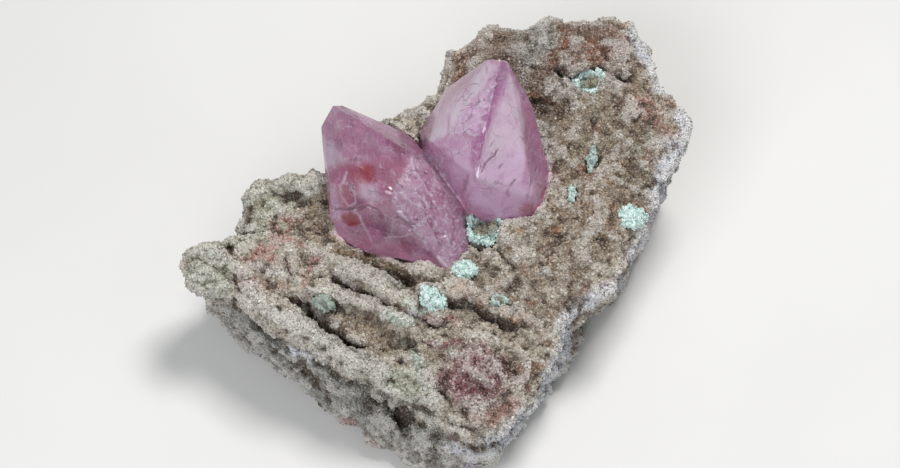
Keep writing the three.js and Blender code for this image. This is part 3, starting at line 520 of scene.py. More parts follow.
class Bench:
    """Adds the nodes of one node tree and joins them."""

    def __init__(self, tree: bpy.types.NodeTree) -> None:
        """Keeps the tree that the nodes are added to."""
        self.tree = tree

    def add(self, kind: str, **inputs: object) -> bpy.types.Node:
        """Adds one node and sets or joins its inputs.

        Args:
            kind: the node's type.
            inputs: input names (with _ for a space) to a value or to another node's output.

        Returns:
            The new node.
        """
        node = self.tree.nodes.new(kind)
        for name, value in inputs.items():
            self.feed(node.inputs[name.replace("_", " ")], value)
        return node

    def feed(self, socket: bpy.types.NodeSocket, value: object) -> None:
        """Sets a socket to a value, or joins another node's output to it.

        Args:
            socket: the input to set.
            value: a value, or another node's output.
        """
        if isinstance(value, bpy.types.NodeSocket):
            self.tree.links.new(value, socket)
        elif isinstance(value, tuple) and socket.type == "RGBA":
            socket.default_value = (*value, 1.0)
        else:
            socket.default_value = value

    def math(self, operation: str, first: object, second: object) -> bpy.types.NodeSocket:
        """One sum or product of two numbers.

        Args:
            operation: Blender's name for it.
            first: a number or an output.
            second: a number or an output.

        Returns:
            The answer's output.
        """
        node = self.tree.nodes.new("ShaderNodeMath")
        node.operation = operation
        self.feed(node.inputs[0], first)
        self.feed(node.inputs[1], second)
        return node.outputs[0]

    def noise(
        self, place: object, size: float, detail: float = 3.0, roughness: float = 0.6,
    ) -> bpy.types.NodeSocket:
        """Soft noise of a given lump size.

        Args:
            place: the coordinates' output.
            size: lump size in metres.
            detail: how many finer layers it has.
            roughness: how strong they are.

        Returns:
            The noise's output, about 0.5 on average.
        """
        node = self.add(
            "ShaderNodeTexNoise", Vector=place, Scale=1.0 / size, Detail=detail, Roughness=roughness,
        )
        return node.outputs["Fac"]

    def band(
        self, value: object, low: float, high: float, bottom: float = 0.0, top: float = 1.0,
    ) -> bpy.types.NodeSocket:
        """Spreads a value between two limits smoothly over a new range.

        Args:
            value: the number's output.
            low: the value where the new range starts.
            high: the value where it ends.
            bottom: the answer at low.
            top: the answer at high.

        Returns:
            The new value's output.
        """
        node = self.tree.nodes.new("ShaderNodeMapRange")
        node.interpolation_type = "SMOOTHSTEP"
        names = ("Value", "From Min", "From Max", "To Min", "To Max")
        for name, number in zip(names, (value, low, high, bottom, top)):
            self.feed(node.inputs[name], number)
        return node.outputs["Result"]

    def mix(self, mask: object, first: object, second: object) -> bpy.types.NodeSocket:
        """Mixes two colours by a mask.

        Args:
            mask: from 0, all of the first, to 1, all of the second.
            first: a colour or an output.
            second: a colour or an output.

        Returns:
            The mixed colour's output.
        """
        node = self.tree.nodes.new("ShaderNodeMix")
        node.data_type = "RGBA"
        self.feed(node.inputs["Factor"], mask)
        self.feed(node.inputs[MIX_FIRST], first)
        self.feed(node.inputs[MIX_SECOND], second)
        return node.outputs[MIX_RESULT]

    def attribute(self, name: str) -> bpy.types.Node:
        """Reads one of the piece's own attributes.

        Args:
            name: the attribute's name.

        Returns:
            The node.
        """
        node = self.tree.nodes.new("ShaderNodeAttribute")
        node.attribute_name = name
        return node

    def group(self, tree: bpy.types.NodeTree, **inputs: object) -> bpy.types.Node:
        """Places a node group and sets or joins its inputs.

        Args:
            tree: the group's tree.
            inputs: input names to a value or to another node's output.

        Returns:
            The group's node.
        """
        node = self.tree.nodes.new("ShaderNodeGroup")
        node.node_tree = tree
        for name, value in inputs.items():
            self.feed(node.inputs[name], value)
        return node


def new_group(
    name: str, inputs: dict[str, str], outputs: dict[str, str],
) -> tuple[Bench, bpy.types.Node, bpy.types.Node]:
    """Starts a shader node group.

    Args:
        name: the group's name.
        inputs: socket names to socket types.
        outputs: the same for the outputs.

    Returns:
        The bench, and the group's input and output nodes.
    """
    tree = bpy.data.node_groups.new(name, "ShaderNodeTree")
    for label, kind in inputs.items():
        tree.interface.new_socket(label, in_out="INPUT", socket_type=kind)
    for label, kind in outputs.items():
        tree.interface.new_socket(label, in_out="OUTPUT", socket_type=kind)
    bench = Bench(tree)
    return bench, bench.add("NodeGroupInput"), bench.add("NodeGroupOutput")


def new_material(
    name: str,
) -> tuple[bpy.types.Material, Bench, bpy.types.Node, bpy.types.NodeSocket]:
    """Starts a material.

    Args:
        name: the material's name.

    Returns:
        The material, its bench, its Principled node and the output of the Object coordinates.
    """
    material = bpy.data.materials.new(name)
    material.use_nodes = True
    bench = Bench(material.node_tree)
    shader = material.node_tree.nodes["Principled BSDF"]
    place = bench.add("ShaderNodeTexCoord").outputs["Object"]
    return material, bench, shader, place


def dress(piece: bpy.types.Object, material: bpy.types.Material) -> None:
    """Gives a piece one material all over."""
    piece.data.materials.clear()
    piece.data.materials.append(material)


def make_active(piece: bpy.types.Object) -> None:
    """Selects one piece alone and makes it the active one."""
    bpy.ops.object.select_all(action="DESELECT")
    piece.select_set(True)
    bpy.context.view_layer.objects.active = piece


def apply_modifier(piece: bpy.types.Object, kind: str, **settings: object) -> None:
    """Adds a modifier with its settings and applies it at once.

    Args:
        piece: the piece.
        kind: the modifier's type.
        settings: its settings by name.
    """
    make_active(piece)
    modifier = piece.modifiers.new(kind.lower(), kind)
    for name, value in settings.items():
        setattr(modifier, name, value)
    bpy.ops.object.modifier_apply(modifier=modifier.name)


def copy_of(source: bpy.types.Object, name: str) -> bpy.types.Object:
    """Makes a new object at the origin with its own copy of another's mesh.

    Args:
        source: the object to copy.
        name: the new object's name.

    Returns:
        The new object.
    """
    piece = bpy.data.objects.new(name, source.data.copy())
    bpy.context.scene.collection.objects.link(piece)
    return piece


def merged_copy(source: bpy.types.Object, name: str) -> bpy.types.Object:
    """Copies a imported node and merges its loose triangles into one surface.

    Args:
        source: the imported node.
        name: the copy's name.

    Returns:
        The copy.
    """
    piece = copy_of(source, name)
    make_active(piece)
    bpy.ops.object.mode_set(mode="EDIT")
    bpy.ops.mesh.select_all(action="SELECT")
    bpy.ops.mesh.remove_doubles(threshold=0.002 * MM)
    bpy.ops.object.mode_set(mode="OBJECT")
    return piece


def corners_of(piece: bpy.types.Object) -> np.ndarray:
    """Reads where the vertices are, in metres.

    Args:
        piece: the piece with the mesh.

    Returns:
        One row of coordinates for each vertex.
    """
    places = np.empty(len(piece.data.vertices) * 3)
    piece.data.vertices.foreach_get("co", places)
    return places.reshape(-1, 3)


def move_corners(piece: bpy.types.Object, places: np.ndarray) -> None:
    """Puts every vertex of a mesh at a new place."""
    piece.data.vertices.foreach_set("co", places.ravel())
    piece.data.update()


def normals_of(piece: bpy.types.Object) -> np.ndarray:
    """Reads which way the surface faces at each vertex.

    Args:
        piece: the piece with the mesh.

    Returns:
        One row for each vertex.
    """
    normals = np.empty(len(piece.data.vertices) * 3)
    piece.data.vertex_normals.foreach_get("vector", normals)
    return normals.reshape(-1, 3)


def store(piece: bpy.types.Object, name: str, values: np.ndarray) -> None:
    """Stores one number at each vertex, for a material or a scatter to read."""
    attribute = piece.data.attributes.new(name, "FLOAT", "POINT")
    attribute.data.foreach_set("value", values.astype(np.float32))


def weigh(piece: bpy.types.Object, name: str, weights: np.ndarray) -> None:
    """Stores a weight from 0 to 1 at each vertex as a vertex group, in steps of a hundredth.

    Args:
        piece: the piece.
        name: the vertex group's name.
        weights: one number for each vertex.
    """
    group = piece.vertex_groups.new(name=name)
    steps = np.round(np.clip(weights, 0.0, 1.0) * 100).astype(int)
    for step in np.unique(steps[steps > 0]):
        group.add(np.flatnonzero(steps == step).tolist(), step / 100.0, "REPLACE")


def smoothed(piece: bpy.types.Object, values: np.ndarray, rounds: int) -> np.ndarray:
    """Averages vertex values with their neighbours' again and again.

    Args:
        piece: the mesh that says which vertices are neighbours.
        values: one row for each vertex.
        rounds: how many times to average.

    Returns:
        The smoothed rows.
    """
    edges = np.empty(len(piece.data.edges) * 2, dtype=np.int64)
    piece.data.edges.foreach_get("vertices", edges)
    first, second = edges.reshape(-1, 2).T
    total = len(values)
    shares = np.bincount(first, minlength=total) + np.bincount(second, minlength=total)
    shares = np.maximum(shares, 1)
    result = values.copy()
    for _ in range(rounds):
        columns = [
            np.bincount(first, result[second, k], total) + np.bincount(second, result[first, k], total)
            for k in range(values.shape[1])
        ]
        result = 0.5 * result + 0.5 * np.stack(columns, 1) / shares[:, None]
    return result


def line_distance(points: np.ndarray, line: np.ndarray) -> np.ndarray:
    """Distance of each point from a line of straight stretches.

    Args:
        points: rows of coordinates.
        line: the line's corners, in the same coordinates.

    Returns:
        One distance for each point.
    """
    nearest = np.full(len(points), np.inf)
    for start, end in zip(line[:-1], line[1:]):
        run = end - start
        share = np.clip((points - start) @ run / (run @ run), 0.0, 1.0)
        gap = np.linalg.norm(points - start - share[:, None] * run, axis=1)
        nearest = np.minimum(nearest, gap)
    return nearest


def cloud(kind: str, name: str, size: float, **settings: object) -> bpy.types.Texture:
    """Makes a procedural texture for a Displace modifier.

    Args:
        kind: the texture's type.
        name: its name.
        size: its lump size in metres.
        settings: its other settings by name.

    Returns:
        The texture.
    """
    texture = bpy.data.textures.new(name, kind)
    texture.noise_scale = size
    for key, value in settings.items():
        setattr(texture, key, value)
    return texture


def put_on(piece: bpy.types.Object, slot: Slot, *nodes: str) -> None:
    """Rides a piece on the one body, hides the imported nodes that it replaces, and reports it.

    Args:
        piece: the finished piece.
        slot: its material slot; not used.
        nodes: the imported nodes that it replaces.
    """
    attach(piece, "root")
    if nodes:
        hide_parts(*nodes)
    LOG.info("%s: %d faces", piece.name, len(piece.data.polygons))


@dataclass
class Studio:
    """The floor, the soft lights and the camera at the photograph's angle."""

    elevation_deg: float = 90.0 - LEAN_DEG
    distance: float = SIGHT_MM * MM
    lens: float = 120.0
    nearest: float = 0.01
    aim: Place = tuple(value * MM for value in AIM_MM)
    floor_side: float = 3.0
    floor_colour: Colour = (0.74, 0.74, 0.73)
    floor_speck: Colour = (0.71, 0.71, 0.70)
    sky: float = 0.30
    sky_colour: Colour = (0.95, 0.97, 1.0)

    def build(self) -> None:
        """Makes the camera, the world, the floor and the lights."""
        self._camera()
        self._world()
        self._floor()
        self._lamp("key", (0.12, 0.13, 0.46), 0.16, 1.7, (1.0, 0.98, 0.95))
        self._lamp("front", (-0.16, -0.38, 0.34), 0.30, 1.5, (0.97, 0.98, 1.0))
        bpy.context.scene.view_settings.view_transform = "Standard"

    def _camera(self) -> None:
        """Puts the camera where the photograph was taken from."""
        lift = math.radians(self.elevation_deg)
        data = bpy.data.cameras.new("camera")
        data.lens = self.lens
        data.clip_start = self.nearest
        camera = bpy.data.objects.new("camera", data)
        back = Vector((0.0, -math.cos(lift), math.sin(lift)))
        camera.location = Vector(self.aim) + back * self.distance
        camera.rotation_euler = Euler((math.pi / 2 - lift, 0.0, 0.0))
        bpy.context.scene.collection.objects.link(camera)
        bpy.context.scene.camera = camera

    def _world(self) -> None:
        """An even pale sky."""
        world = bpy.data.worlds.new("world")
        world.use_nodes = True
        background = world.node_tree.nodes["Background"]
        background.inputs["Color"].default_value = (*self.sky_colour, 1.0)
        background.inputs["Strength"].default_value = self.sky
        bpy.context.scene.world = world

    def _floor(self) -> None:
        """A plain pale floor that the rock lies on."""
        bpy.ops.mesh.primitive_plane_add(size=self.floor_side)
        floor = bpy.context.active_object
        floor.name = "floor"
        material, bench, shader, place = new_material("pale_floor")
        speck = bench.band(bench.noise(place, 0.08), 0.3, 0.7)
        colour = bench.mix(speck, self.floor_colour, self.floor_speck)
        bench.feed(shader.inputs["Base Color"], colour)
        shader.inputs["Roughness"].default_value = 0.7
        dress(floor, material)

    def _lamp(self, name: str, at: Place, size: float, power: float, colour: Colour) -> None:
        """Adds a soft square lamp aimed at the specimen.

        Args:
            name: its name.
            at: its place in metres.
            size: its side in metres.
            power: its power in watts.
            colour: its colour.
        """
        data = bpy.data.lights.new(name, "AREA")
        data.size = size
        data.energy = power
        data.color = colour
        lamp = bpy.data.objects.new(name, data)
        lamp.location = at
        lamp.rotation_euler = (Vector(self.aim) - Vector(at)).to_track_quat("-Z", "Y").to_euler()
        bpy.context.scene.collection.objects.link(lamp)


class MatrixPalette:
    """The rock's colour at every place, shared by the rock and by its grains."""

    def __init__(self) -> None:
        """Builds the colour group."""
        bench, given, result = new_group(
            "matrix_colour",
            {
                "Place": "NodeSocketVector", "Hollow": "NodeSocketFloat",
                "Trough": "NodeSocketFloat", "Tinge": "NodeSocketColor",
                "Cover": "NodeSocketFloat",
            },
            {"Colour": "NodeSocketColor", "Height": "NodeSocketFloat"},
        )
        self.tree = bench.tree
        place = given.outputs["Place"]
        patches = bench.band(bench.noise(place, 6.0 * MM, 4.0, 0.65), 0.40, 0.60)
        colour = bench.mix(patches, Tint.CREAM.value, Tint.BEIGE.value)
        brown = bench.band(bench.noise(place, 2.4 * MM), 0.52, 0.70, 0.0, 0.6)
        colour = bench.mix(brown, colour, Tint.BROWN.value)
        white = bench.band(bench.noise(place, 3.3 * MM), 0.55, 0.72, 0.0, 0.5)
        colour = bench.mix(white, colour, Tint.WHITE.value)
        axes = bench.tree.nodes.new("ShaderNodeSeparateXYZ")
        bench.feed(axes.inputs[0], place)
        low = bench.band(axes.outputs["Z"], 9.0 * MM, 16.0 * MM, 0.75, 0.0)
        colour = bench.mix(low, colour, Tint.GREY.value)
        # The colour that troughs are painted with as shade: brown up high, slate on the low walls.
        deep = bench.mix(low, Tint.BROWN.value, Tint.SLATE.value)
        right = bench.band(axes.outputs["X"], 2.0 * MM, 14.0 * MM)
        rusty = bench.band(bench.noise(place, 2.1 * MM, 4.0), 0.52, 0.64, 0.0, 0.7)
        colour = bench.mix(bench.math("MULTIPLY", right, rusty), colour, Tint.RUST.value)
        mossy = bench.band(bench.noise(place, 2.9 * MM, 4.0), 0.52, 0.66, 0.0, 0.4)
        colour = bench.mix(bench.math("MULTIPLY", right, mossy), colour, Tint.OLIVE.value)
        mottle = bench.math("SUBTRACT", bench.noise(place, 0.9 * MM, 4.0, 0.7), 0.5)
        mottled = bench.math("MULTIPLY", mottle, given.outputs["Cover"])
        cover = bench.math("ADD", given.outputs["Cover"], mottled)
        colour = bench.mix(bench.math("MINIMUM", cover, 1.0), colour, given.outputs["Tinge"])
        # Painted shade and highlight from the relief: troughs darken to that colour, crests lighten to
        # white, and small hollows darken to SHADE.
        trough = bench.band(given.outputs["Trough"], 0.1, 1.8, 0.0, 0.75)
        colour = bench.mix(trough, colour, deep)
        crest_highlight = bench.band(given.outputs["Trough"], -1.9, -0.2, 0.55, 0.0)
        colour = bench.mix(crest_highlight, colour, Tint.WHITE.value)
        hollow = bench.band(given.outputs["Hollow"], 0.1, 1.8, 0.0, 0.9)
        colour = bench.mix(hollow, colour, Tint.SHADE.value)
        speck = bench.add("ShaderNodeTexVoronoi", Vector=place, Scale=1.0 / (0.26 * MM))
        tone = bench.tree.nodes.new("ShaderNodeSeparateColor")
        bench.feed(tone.inputs[0], speck.outputs["Color"])
        dark = bench.band(tone.outputs[0], 0.80, 0.96, 0.0, 0.5)
        light = bench.band(tone.outputs[1], 0.70, 0.95, 0.0, 0.35)
        colour = bench.mix(dark, colour, Tint.BROWN.value)
        colour = bench.mix(light, colour, Tint.WHITE.value)
        bench.feed(result.inputs["Colour"], colour)
        grit = bench.math("ADD", bench.noise(place, 0.35 * MM, 3.0), speck.outputs["Distance"])
        bench.feed(result.inputs["Height"], grit)

    def read(self, bench: Bench, place: bpy.types.NodeSocket) -> bpy.types.Node:
        """Places the colour group with the piece's own hollows and marks.

        Args:
            bench: the material's bench.
            place: the Object coordinates.

        Returns:
            The group's node.
        """
        tinge = bench.attribute("tinge")
        return bench.group(
            self.tree, Place=place, Hollow=bench.attribute("hollow").outputs["Fac"],
            Trough=bench.attribute("trough").outputs["Fac"],
            Tinge=tinge.outputs["Color"], Cover=tinge.outputs["Alpha"],
        )


@dataclass(frozen=True)
class RockFinish:
    """Dull granular stone, painted brown shade in its hollows, milky pink where the crystals root."""

    palette: MatrixPalette
    root: Colour = (0.74, 0.52, 0.60)
    roughness: float = 0.88
    bump: float = 0.7
    grit: float = 0.25

    def material(self) -> bpy.types.Material:
        """Makes the rock's material.

        Returns:
            The material.
        """
        material, bench, shader, place = new_material("matrix_stone")
        colour = self.palette.read(bench, place)
        rooted = bench.mix(bench.attribute("seat").outputs["Fac"], colour.outputs["Colour"], self.root)
        bench.feed(shader.inputs["Base Color"], rooted)
        shader.inputs["Roughness"].default_value = self.roughness
        bump = bench.add(
            "ShaderNodeBump", Height=colour.outputs["Height"], Strength=self.bump,
            Distance=self.grit * MM,
        )
        bench.feed(shader.inputs["Normal"], bump.outputs["Normal"])
        return material


@dataclass(frozen=True)
class GrainFinish:
    """Small glassy calcite grains, most of them the rock's colour and some paler or darker."""

    palette: MatrixPalette
    name: str
    frost: Colour
    frost_share: float
    dark: Colour
    dark_share: float
    frost_strength: float = 0.45
    dark_strength: float = 0.75
    roughness: float = 0.45
    ior: float = 1.5

    def material(self) -> bpy.types.Material:
        """Makes the grains' material.

        Returns:
            The material.
        """
        material, bench, shader, place = new_material(self.name)
        tone = bench.attribute("tone").outputs["Fac"]
        colour = self.palette.read(bench, place).outputs["Colour"]
        pale = bench.band(tone, 1.0 - self.frost_share, 1.0, 0.0, self.frost_strength)
        deep = bench.band(tone, 0.0, self.dark_share, self.dark_strength, 0.0)
        colour = bench.mix(deep, bench.mix(pale, colour, self.frost), self.dark)
        bench.feed(shader.inputs["Base Color"], colour)
        shader.inputs["Roughness"].default_value = self.roughness
        shader.inputs["IOR"].default_value = self.ior
        return material


@dataclass(frozen=True)
class RoughLayer:
    """One size of lumps: their texture, their rise, and how far they are drawn out one way."""

    texture: bpy.types.Texture
    rise: float
    stretch: float = 1.0
    heading_deg: float = 0.0


@dataclass
class MatrixRock:
    """The loose matrix rock, remeshed from its solid and roughened at several sizes."""

    node: bpy.types.Object
    crystals: bpy.types.Object
    finish: RockFinish
    marks: tuple[Mark, ...] = (*LEFT_ROCK, *FRONT_ROCK, *RIGHT_ROCK)
    voxel: float = 0.40 * MM
    foot_height: float = 2.0 * MM
    face_margin: float = 5.5 * MM
    face_fade: float = 2.0 * MM
    sugar_behind: float = 0.30
    crystal_gap: float = 0.45 * MM
    mound: tuple[float, float] = (2.2, -25.6)
    mound_reach: float = 7.0
    mound_fade: float = 2.5

    def build(self) -> bpy.types.Object:
        """Makes the rock's piece.

        Returns:
            The finished piece.
        """
        rock = merged_copy(self.node, "matrix_rock_surface")
        apply_modifier(rock, "REMESH", mode="VOXEL", voxel_size=self.voxel)
        self._model(rock)
        self._roughen(rock)
        self._measure(rock)
        rock.data.shade_smooth()
        dress(rock, self.finish.material())
        put_on(rock, Slot.MATRIX, self.node.name)
        return rock

    def _model(self, rock: bpy.types.Object) -> None:
        """Raises the ridges and sinks the grooves, pits and cracks that face the front."""
        places = corners_of(rock)
        normals = normals_of(rock)
        front, sight = seen_from_front(places)
        front = front + wander(places, *BROAD_WANDER)
        relief = sum(share_of(front, mark) * mark.relief for mark in self.marks if mark.relief)
        relief = relief * np.clip(normals @ sight * 3.0, 0.0, 1.0) * self._loose(places)
        relief = smoothed(rock, relief[:, None], 2)
        lean = normals * 0.6 + np.array((0.0, 0.0, 0.4))
        move_corners(rock, places + lean * relief * MM)

    def _loose(self, places: np.ndarray) -> np.ndarray:
        """0 on the flat foot, 1 from the foot's height up."""
        return np.clip((places[:, 2] - 0.3 * MM) / self.foot_height, 0.0, 1.0)

    def _roughen(self, rock: bpy.types.Object) -> None:
        """Raises lumps of several sizes everywhere but on the flat foot."""
        weigh(rock, "free", self._loose(corners_of(rock)))
        crags = cloud(
            "MUSGRAVE", "crags", 5.0 * MM, musgrave_type="RIDGED_MULTIFRACTAL", octaves=3.0,
        )
        for layer in (
            RoughLayer(crags, 0.7 * MM, stretch=2.2, heading_deg=-35.0),
            RoughLayer(cloud("CLOUDS", "broken_lumps", 2.6 * MM, noise_depth=3), 1.6 * MM),
            RoughLayer(cloud("VORONOI", "round_lumps", 1.4 * MM), -0.5 * MM),
            RoughLayer(cloud("CLOUDS", "grit", 0.8 * MM, noise_depth=1), 0.4 * MM),
        ):
            self._displace(rock, layer)

    def _displace(self, rock: bpy.types.Object, layer: RoughLayer) -> None:
        """Raises one rough layer, drawn out along its heading.

        Args:
            rock: the rock's piece.
            layer: the layer.
        """
        bpy.ops.object.select_all(action="DESELECT")
        bpy.ops.object.empty_add(rotation=(0.0, 0.0, math.radians(layer.heading_deg)))
        guide = bpy.context.active_object
        guide.scale = (layer.stretch, 1.0, 1.0)
        bpy.context.view_layer.update()
        apply_modifier(
            rock, "DISPLACE", texture=layer.texture, strength=layer.rise, mid_level=0.5,
            texture_coords="OBJECT", texture_coords_object=guide, vertex_group="free",
        )
        bpy.data.objects.remove(guide)

    def _measure(self, rock: bpy.types.Object) -> None:
        """Stores the marks' colours, how hollow each place is, and where the druse grows."""
        places = corners_of(rock)
        normals = normals_of(rock)
        front, sight = seen_from_front(places)
        front = front + wander(places, *BROAD_WANDER) + wander(places, *FINE_WANDER)
        front[normals @ sight < HIDDEN_FACING] = OFF_THE_MARKS
        paint(rock, self.marks, Tint.BEIGE.value, front)
        # How hollow each place is, near and far, which the colour group turns into painted shade in
        # hollows and troughs and a painted highlight on crests.
        near = np.einsum("ij,ij->i", smoothed(rock, places, 8) - places, normals)
        far = np.einsum("ij,ij->i", smoothed(rock, places, 60) - places, normals)
        store(rock, "hollow", near / near.std())
        store(rock, "trough", far / far.std())
        height = FACE_HEIGHT * MM + FACE_SLOPE * places[:, 1]
        face = np.clip((places[:, 2] - height + self.face_margin) / self.face_fade, 0.0, 1.0)
        upward = np.clip((normals[:, 2] + 0.1) / 0.3, 0.0, 1.0)
        above_foot = places[:, 2] > 0.8 * MM
        sugar = np.clip(self.sugar_behind + face * upward, 0.0, 1.0) * above_foot
        sugar *= np.clip(1.0 - near / (0.25 * MM), 0.15, 1.0)
        clear = self._clear_of_crystals(places)
        store(rock, "sugar", sugar * clear)
        store(rock, "seat", 1.0 - clear)
        away = np.hypot(front[:, 0] - self.mound[0], front[:, 1] - self.mound[1])
        store(rock, "rose", np.clip((self.mound_reach - away) / self.mound_fade, 0.0, 1.0))

    def _clear_of_crystals(self, places: np.ndarray) -> np.ndarray:
        """Finds where grains have room beside the crystals.

        Args:
            places: the rock's vertices, in metres.

        Returns:
            1 where a grain can grow, 0 inside the crystals or close to them.
        """
        mesh = self.crystals.data
        tree = BVHTree.FromPolygons(
            [vertex.co for vertex in mesh.vertices], [tuple(face.vertices) for face in mesh.polygons],
        )
        clear = np.ones(len(places))
        low, high = (np.array(corner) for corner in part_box(self.crystals.name))
        near = np.flatnonzero(np.all((places > low - MM) & (places < high + MM), axis=1))
        for index in near:
            point = Vector(places[index])
            hit, normal, _, gap = tree.find_nearest(point)
            if gap < self.crystal_gap or (point - hit).dot(normal) < 0.0:
                clear[index] = 0.0
        return clear


class GrainShape(Enum):
    """The habits of the small grains."""

    RHOMB = "rhomb"
    SUGAR = "sugar"
    TOOTH = "tooth"
    GLOBULE = "globule"


@dataclass
class Druse:
    """One layer of small grains scattered over a piece."""

    name: str
    shape: GrainShape
    spacing: float
    size: tuple[float, float]
    mask: str
    seed: int
    finish: bpy.types.Material
    slot: Slot = Slot.MATRIX

    def build(self, ground: bpy.types.Object) -> bpy.types.Object:
        """Scatters the grains and joins them in one mesh.

        Args:
            ground: the piece that they grow on, with the mask of where.

        Returns:
            The finished piece.
        """
        grain = self._grain()
        piece = copy_of(ground, self.name)
        modifier = piece.modifiers.new("scatter", "NODES")
        modifier.node_group = self._scatter(grain)
        make_active(piece)
        bpy.ops.object.modifier_apply(modifier=modifier.name)
        bpy.data.objects.remove(grain)
        dress(piece, self.finish)
        put_on(piece, self.slot)
        return piece

    def _grain(self) -> bpy.types.Object:
        """Makes one grain, about a millimetre across.

        Returns:
            The grain's object.
        """
        bpy.ops.object.select_all(action="DESELECT")
        if self.shape is GrainShape.RHOMB:
            bpy.ops.mesh.primitive_cube_add(size=0.8 * MM)
            lean = Matrix(((1.0, 0.25, 0.1), (0.0, 1.0, 0.25), (0.1, 0.0, 1.0)))
            bpy.context.active_object.data.transform(lean.to_4x4())
        elif self.shape is GrainShape.SUGAR:
            bpy.ops.mesh.primitive_uv_sphere_add(segments=3, ring_count=2, radius=0.55 * MM)
        elif self.shape is GrainShape.TOOTH:
            bpy.ops.mesh.primitive_cone_add(
                vertices=4, radius1=0.40 * MM, depth=1.0 * MM, end_fill_type="TRIFAN",
            )
        else:
            bpy.ops.mesh.primitive_ico_sphere_add(subdivisions=1, radius=0.5 * MM)
        return bpy.context.active_object

    def _scatter(self, grain: bpy.types.Object) -> bpy.types.NodeTree:
        """Lays out the geometry nodes that put a turned and sized grain at each point.

        Args:
            grain: the grain's object.

        Returns:
            The tree, for a Nodes modifier.
        """
        tree = bpy.data.node_groups.new(self.name, "GeometryNodeTree")
        tree.interface.new_socket("Geometry", in_out="INPUT", socket_type="NodeSocketGeometry")
        tree.interface.new_socket("Geometry", in_out="OUTPUT", socket_type="NodeSocketGeometry")
        bench = Bench(tree)
        given = bench.add("NodeGroupInput")
        result = bench.add("NodeGroupOutput")
        mask = bench.add("GeometryNodeInputNamedAttribute", Name=self.mask)
        points = bench.tree.nodes.new("GeometryNodeDistributePointsOnFaces")
        points.distribute_method = "POISSON"
        bench.feed(points.inputs["Mesh"], given.outputs[0])
        bench.feed(points.inputs["Distance Min"], self.spacing)
        bench.feed(points.inputs["Density Max"], 2.0 / self.spacing**2)
        bench.feed(points.inputs["Density Factor"], mask.outputs[0])
        bench.feed(points.inputs["Seed"], self.seed)
        small, large = self.size
        turn = self._random(bench, "FLOAT_VECTOR", (0.0,) * 3, (math.tau,) * 3, 1)
        stretch = self._random(bench, "FLOAT_VECTOR", (small,) * 3, (large,) * 3, 2)
        source = bench.add("GeometryNodeObjectInfo", Object=grain)
        placed = bench.add(
            "GeometryNodeInstanceOnPoints", Points=points.outputs["Points"],
            Instance=source.outputs["Geometry"], Rotation=turn, Scale=stretch,
        )
        tone = bench.tree.nodes.new("GeometryNodeStoreNamedAttribute")
        tone.data_type = "FLOAT"
        tone.domain = "INSTANCE"
        bench.feed(tone.inputs["Geometry"], placed.outputs[0])
        bench.feed(tone.inputs["Name"], "tone")
        bench.feed(tone.inputs["Value"], self._random(bench, "FLOAT", 0.0, 1.0, 3))
        real = bench.add("GeometryNodeRealizeInstances", Geometry=tone.outputs[0])
        bench.feed(result.inputs[0], real.outputs[0])
        return tree

    def _random(
        self, bench: Bench, kind: str, low: object, high: object, salt: int,
    ) -> bpy.types.NodeSocket:
        """Draws a seeded random number or vector between two limits.

        Args:
            bench: the tree's bench.
            kind: FLOAT for a number, FLOAT_VECTOR for a vector.
            low: the lower limit.
            high: the upper limit.
            salt: sets this draw apart from the layer's others.

        Returns:
            The draw's output.
        """
        node = bench.tree.nodes.new("FunctionNodeRandomValue")
        node.data_type = kind
        low_socket, drawn_socket = (0, 0) if kind == "FLOAT_VECTOR" else (2, 1)
        bench.feed(node.inputs[low_socket], low)
        bench.feed(node.inputs[low_socket + 1], high)
        bench.feed(node.inputs["Seed"], self.seed * 10 + salt)
        return node.outputs[drawn_socket]


@dataclass
class RockCoat:
    """The small grains that coat the rock: rhombs, sugar in four sowings, and rose teeth."""

    palette: MatrixPalette
    frost: Colour = (0.58, 0.51, 0.41)
    soot: Colour = (0.055, 0.040, 0.030)
    rose_frost: Colour = (0.86, 0.62, 0.62)
    rose_dark: Colour = (0.10, 0.020, 0.030)
    sugar_spacing: float = 0.385 * MM
    sugar_size: tuple[float, float] = (0.26, 0.46)

    def build(self, rock: bpy.types.Object) -> None:
        """Scatters every layer of grains.

        Args:
            rock: the rock's piece.
        """
        brown = Tint.BROWN.value
        sugar = GrainFinish(
            self.palette, "sugar_grains", self.frost, frost_share=0.35, dark=brown, dark_share=0.25,
        ).material()
        fine = GrainFinish(
            self.palette, "fine_grains", self.frost, frost_share=0.30, dark=self.soot,
            dark_share=0.30,
        ).material()
        rose = GrainFinish(
            self.palette, "rose_grains", self.rose_frost, frost_share=0.45, dark=self.rose_dark,
            dark_share=0.50,
        ).material()
        Druse(
            "druse_rhombs", GrainShape.RHOMB, spacing=0.62 * MM, size=(0.30, 0.60), mask="sugar",
            seed=3, finish=sugar,
        ).build(rock)
        for name, seed, finish in (
            ("druse_sugar", 5, fine),
            ("druse_sugar_pale", 11, sugar),
            ("druse_sugar_fine", 17, sugar),
            ("druse_sugar_last", 23, sugar),
        ):
            Druse(
                name, GrainShape.SUGAR, spacing=self.sugar_spacing, size=self.sugar_size,
                mask="sugar", seed=seed, finish=finish,
            ).build(rock)
        Druse(
            "druse_rose", GrainShape.TOOTH, spacing=0.36 * MM, size=(0.45, 0.80), mask="rose",
            seed=7, finish=rose,
        ).build(rock)


